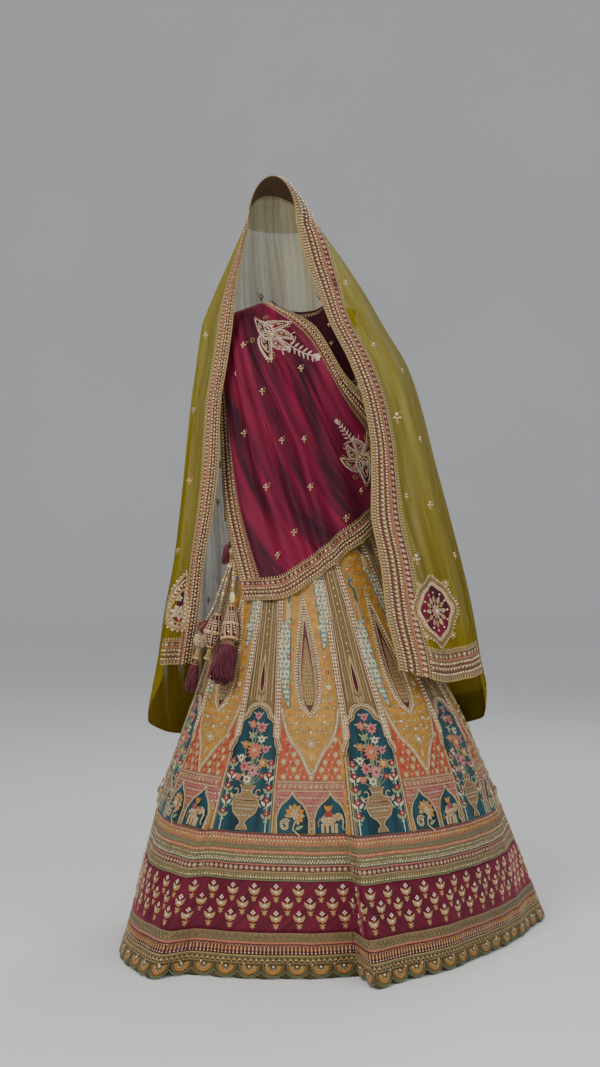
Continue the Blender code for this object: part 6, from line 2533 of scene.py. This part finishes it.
@dataclass(frozen=True)
class NetVeil:
    """The net veil: crown, back, two falls and the borders of its front edge."""

    fall_butis: tuple[tuple[float, float, float], ...] = (
        (0.822, 0.133, 1.2), (0.799, 0.273, 1.4), (0.842, 0.431, 2.1), (0.930, 0.740, 2.1),
        (0.892, 0.604, 1.4),
        (0.607, 0.622, 1.4), (0.500, 0.330, 1.2), (0.560, 0.480, 1.3), (0.420, 0.740, 1.4))

    def build(self) -> None:
        """Build every part."""
        parts = (("veil_left_border", -1.0, "left", 9, Finish.ZARI, "gold_embroidery", 0.001),
                 ("veil_left_fall", "left", 0.0, 36, Finish.VEIL_NET, "olive_net", 0.0),
                 ("veil_back", 0.0, 2.0, 110, Finish.BACK_NET, "olive_net", 0.0),
                 ("veil_right_fall", 2.0, "right", 40, Finish.VEIL_NET, "olive_net", 0.0),
                 ("veil_right_border", "right", 3.0, 9, Finish.ZARI, "gold_embroidery", 0.001))
        for name, low, high, count, finish, slot, thickness in parts:
            shell(f"{name}_cloth", Veil(low, high), np.linspace(0.0, 1.0, count),
                  np.linspace(0.0, 1.0, 80), finish, slot, [name], thickness)
        turns = np.linspace(0.0, 2.0, 60)
        shell("veil_crown_cloth", Hood(), turns, np.linspace(0.0, 1.0, 26), Finish.VEIL_NET, "olive_net",
              ["veil_crown"], 0.0)
        shell("veil_brow_border_cloth", Hood(), turns, np.linspace(1.0, 2.0, 9), Finish.ZARI,
              "gold_embroidery", ["veil_brow_border"], 0.001)
        self.add_borders()
        self.add_panels()

    def add_borders(self) -> None:
        """The gold rows of the edges: the face, the ends of both falls and the back's hem."""
        left, right = Veil(-1.0, "left"), Veil("right", 3.0)
        rows = zari_rows(Strip(left, line_of(1.0, 0.0, 1.0, 1.0), line_of(0.0, 0.0, 0.0, 1.0), 0.042))
        rows.laid().piece("veil_left_border_rows", "gold_embroidery")
        rows = zari_rows(Strip(right, line_of(0.0, 0.0, 0.0, 1.0), line_of(1.0, 0.0, 1.0, 1.0), 0.056))
        rows.laid().piece("veil_right_border_rows", "gold_embroidery")
        brow = zari_rows(Strip(Hood(), line_of(0.0, 1.0, 2.0, 1.0), line_of(0.0, 2.0, 2.0, 2.0), 0.050))
        brow.laid().piece("veil_brow_border_rows", "gold_embroidery")
        work = Work()
        falls = ((Veil("left", 0.0), 0.0, 0.74, 0.944), (Veil(2.0, "right"), 0.13, 1.0, 0.936),
                 (Veil(0.0, 2.0), 0.22, 1.0, 0.938))
        for surface, low, high, top in falls:
            strip = Strip(surface, line_of(low, top, high, top), line_of(low, 1.0, high, 1.0), 0.064)
            work.join(zari_rows(strip).ground(0.0, 0.064, Finish.ZARI, 0.0006).laid())
        work.piece("veil_hem_rows", "gold_embroidery")

    def add_panels(self) -> None:
        """The corner paisley of the left fall, the lobed panel of the right, and the scattered beads."""
        left, right = Veil("left", 0.0), Veil(2.0, "right")
        work = Work()
        shape = paisley(0.135, Finish.MAROON_VELVET, Finish.GOLD, Finish.IVORY_GOLD, Finish.BEAD)
        work.join(shape.moved(left.seat_at(0.30, 0.868, 8.0)))
        work.join(corner_panel().moved(right.seat_at(0.80, 0.850, 0.0, 1.12)))
        for u, v, size in self.fall_butis:
            work.join(bead_buti(size).moved(right.seat_at(u, v)))
        for u, v in ((0.45, 0.25), (0.50, 0.42), (0.42, 0.58), (0.50, 0.74)):
            work.join(bead_buti(1.2).moved(left.seat_at(u, v)))
        back = Veil(0.0, 2.0)
        for n in range(42):
            work.join(bead_buti(1.3).moved(back.seat_at(0.10 + 0.135 * (n % 7), 0.12 + 0.135 * (n // 7)
                                                       + 0.06 * (n % 2))))
        work.piece("veil_motifs", "gold_embroidery")


def corner_panel() -> Work:
    """The lobed square near the end of the right fall: a gold medallion on maroon."""
    made = Work()
    a = np.linspace(0.0, math.tau, 49)
    lobed = 0.046 * (1.0 + 0.10 * np.abs(np.cos(2 * a)) + 0.05 * np.cos(8 * a))
    out = np.c_[np.cos(a) * lobed * 0.92, np.sin(a) * lobed * 1.1]
    made.patch(out[:25], out[24:][::-1], Finish.MAROON_VELVET, 0.0010, 8)
    made.cord(out, 0.0046, Finish.PALE_GOLD, 0.0012)
    made.cord(out * 1.13, 0.0030, Finish.GOLD, 0.0008)
    made.cord(out * 1.26, 0.0050, Finish.ANTIQUE, 0.0006)
    made.beads(spaced(out * 1.06, 0.0068), 0.0026, Finish.PEARL, 0.8, 0.0008)
    made.beads(spaced(out * 1.34, 0.0076), 0.0026, Finish.BEAD, 0.8, 0.0006)
    for k in range(12):
        turn = math.tau * k / 12
        ray = np.array([math.cos(turn), math.sin(turn) * 1.08])
        made.leaf(ray * 0.016, ray * 0.0335, 0.0110, Finish.GOLD if k % 2 else Finish.PALE_GOLD, 0.0014)
        made.beads([ray * 0.0375], 0.0026, Finish.PEARL, 0.9, 0.0014)
    made.flower(0.0, 0.0, 0.0185, Finish.PALE_GOLD, Finish.STONE, 9, 0.2, 0.0030)
    made.flower(0.0, 0.0, 0.0100, Finish.PINK, Finish.BEAD, 7, 0.0, 0.0050)
    for x, y in ((-1, -1), (-1, 1), (1, -1), (1, 1)):
        made.flower(0.043 * x, 0.056 * y, 0.0095, Finish.GOLD, Finish.BEAD, 6, 0.3, 0.0008)
    return made


@dataclass(frozen=True)
class Studio:
    """The floor, the backdrop, the soft lights and the camera at the photograph's angle."""

    lens: float = 61.37
    camera_at: tuple[float, float, float] = (0.0, -4.55, -0.07)
    pitch: float = 1.21
    floor: float = -1.158
    floor_size: float = 30.0
    sweep_from: float = 10.0
    sweep: float = 3.0
    sensor: float = 36.0

    def build(self) -> None:
        """Build the stage."""
        self.add_floor()
        self.add_light("key", (-1.6, -3.2, 2.3), 1.5, 108.0, (1.0, 0.97, 0.93))
        self.add_light("fill", (2.6, -2.6, 0.9), 2.0, 34.0, (0.94, 0.97, 1.0))
        self.add_light("rim", (1.2, 2.6, 2.4), 1.4, 45.0, (1.0, 0.98, 0.95))
        self.add_light("front", (0.2, -4.2, -0.3), 1.2, 12.0, (1.0, 0.99, 0.97))
        world = bpy.data.worlds.new("soft grey")
        world.use_nodes = True
        world.node_tree.nodes["Background"].inputs["Color"].default_value = (0.62, 0.63, 0.64, 1.0)
        world.node_tree.nodes["Background"].inputs["Strength"].default_value = 0.66
        bpy.context.scene.world = world
        camera = bpy.data.cameras.new("camera")
        camera.sensor_fit = "VERTICAL"
        camera.sensor_height = self.sensor
        camera.lens = self.lens
        seen = bpy.data.objects.new("camera", camera)
        seen.location = self.camera_at
        seen.rotation_euler = (math.radians(90.0 - self.pitch), 0.0, 0.0)
        bpy.context.scene.collection.objects.link(seen)
        bpy.context.scene.camera = seen

    def add_floor(self) -> None:
        """A pale floor that sweeps up far behind."""
        half = self.floor_size / 2
        shader = Shader("pale floor", Roughness=0.85)
        tone = shader.noise(0.8, 2.0)
        shader.paint("Base Color", shader.mix(tone, (0.80, 0.81, 0.815), (0.85, 0.86, 0.865)))
        mesh = bpy.data.meshes.new("floor")
        a = np.linspace(0.0, math.pi / 2, 12)
        start, end = self.sweep_from, self.sweep_from + self.sweep
        y = np.r_[-half, start - 1.0, start + self.sweep * np.sin(a), end]
        z = np.r_[0.0, 0.0, self.sweep * (1 - np.cos(a)), half] + self.floor
        points = [(x, back, up) for back, up in zip(y, z) for x in (-half, half)]
        mesh.from_pydata(points, [], [(2 * n, 2 * n + 1, 2 * n + 3, 2 * n + 2) for n in range(len(y) - 1)])
        mesh.polygons.foreach_set("use_smooth", np.ones(len(mesh.polygons), bool))
        mesh.materials.append(shader.material)
        floor = bpy.data.objects.new("floor", mesh)
        bpy.context.scene.collection.objects.link(floor)

    @staticmethod
    def add_light(name: str, at: tuple[float, float, float], size: float, power: float,
                  colour: Colour) -> None:
        """Hang a square soft light that faces the garment.

        Args:
            name: The light's name.
            at: Its place in metres.
            size: The side of its square in metres.
            power: Its power in watts.
            colour: Its colour.
        """
        light = bpy.data.lights.new(name, "AREA")
        light.size, light.energy, light.color = size, power, colour
        made = bpy.data.objects.new(name, light)
        made.location = at
        made.rotation_euler = (Vector((0.0, 0.0, -0.2)) - Vector(at)).to_track_quat("-Z", "Y").to_euler()
        bpy.context.scene.collection.objects.link(made)


def main() -> None:
    """Build the set in order; each piece logs its triangle count as it is made."""
    logging.basicConfig(level=logging.INFO, format="%(message)s", stream=sys.stdout)
    Studio().build()
    Blouse().build()
    SkirtBands().build()
    for number in range(SKIRT.repeats):
        ArchGore(number).build()
        PeacockGore(number).build()
    VelvetDupatta().build()
    NetVeil().build()
    Latkans().build()
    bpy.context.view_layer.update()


if __name__ == "__main__":
    main()
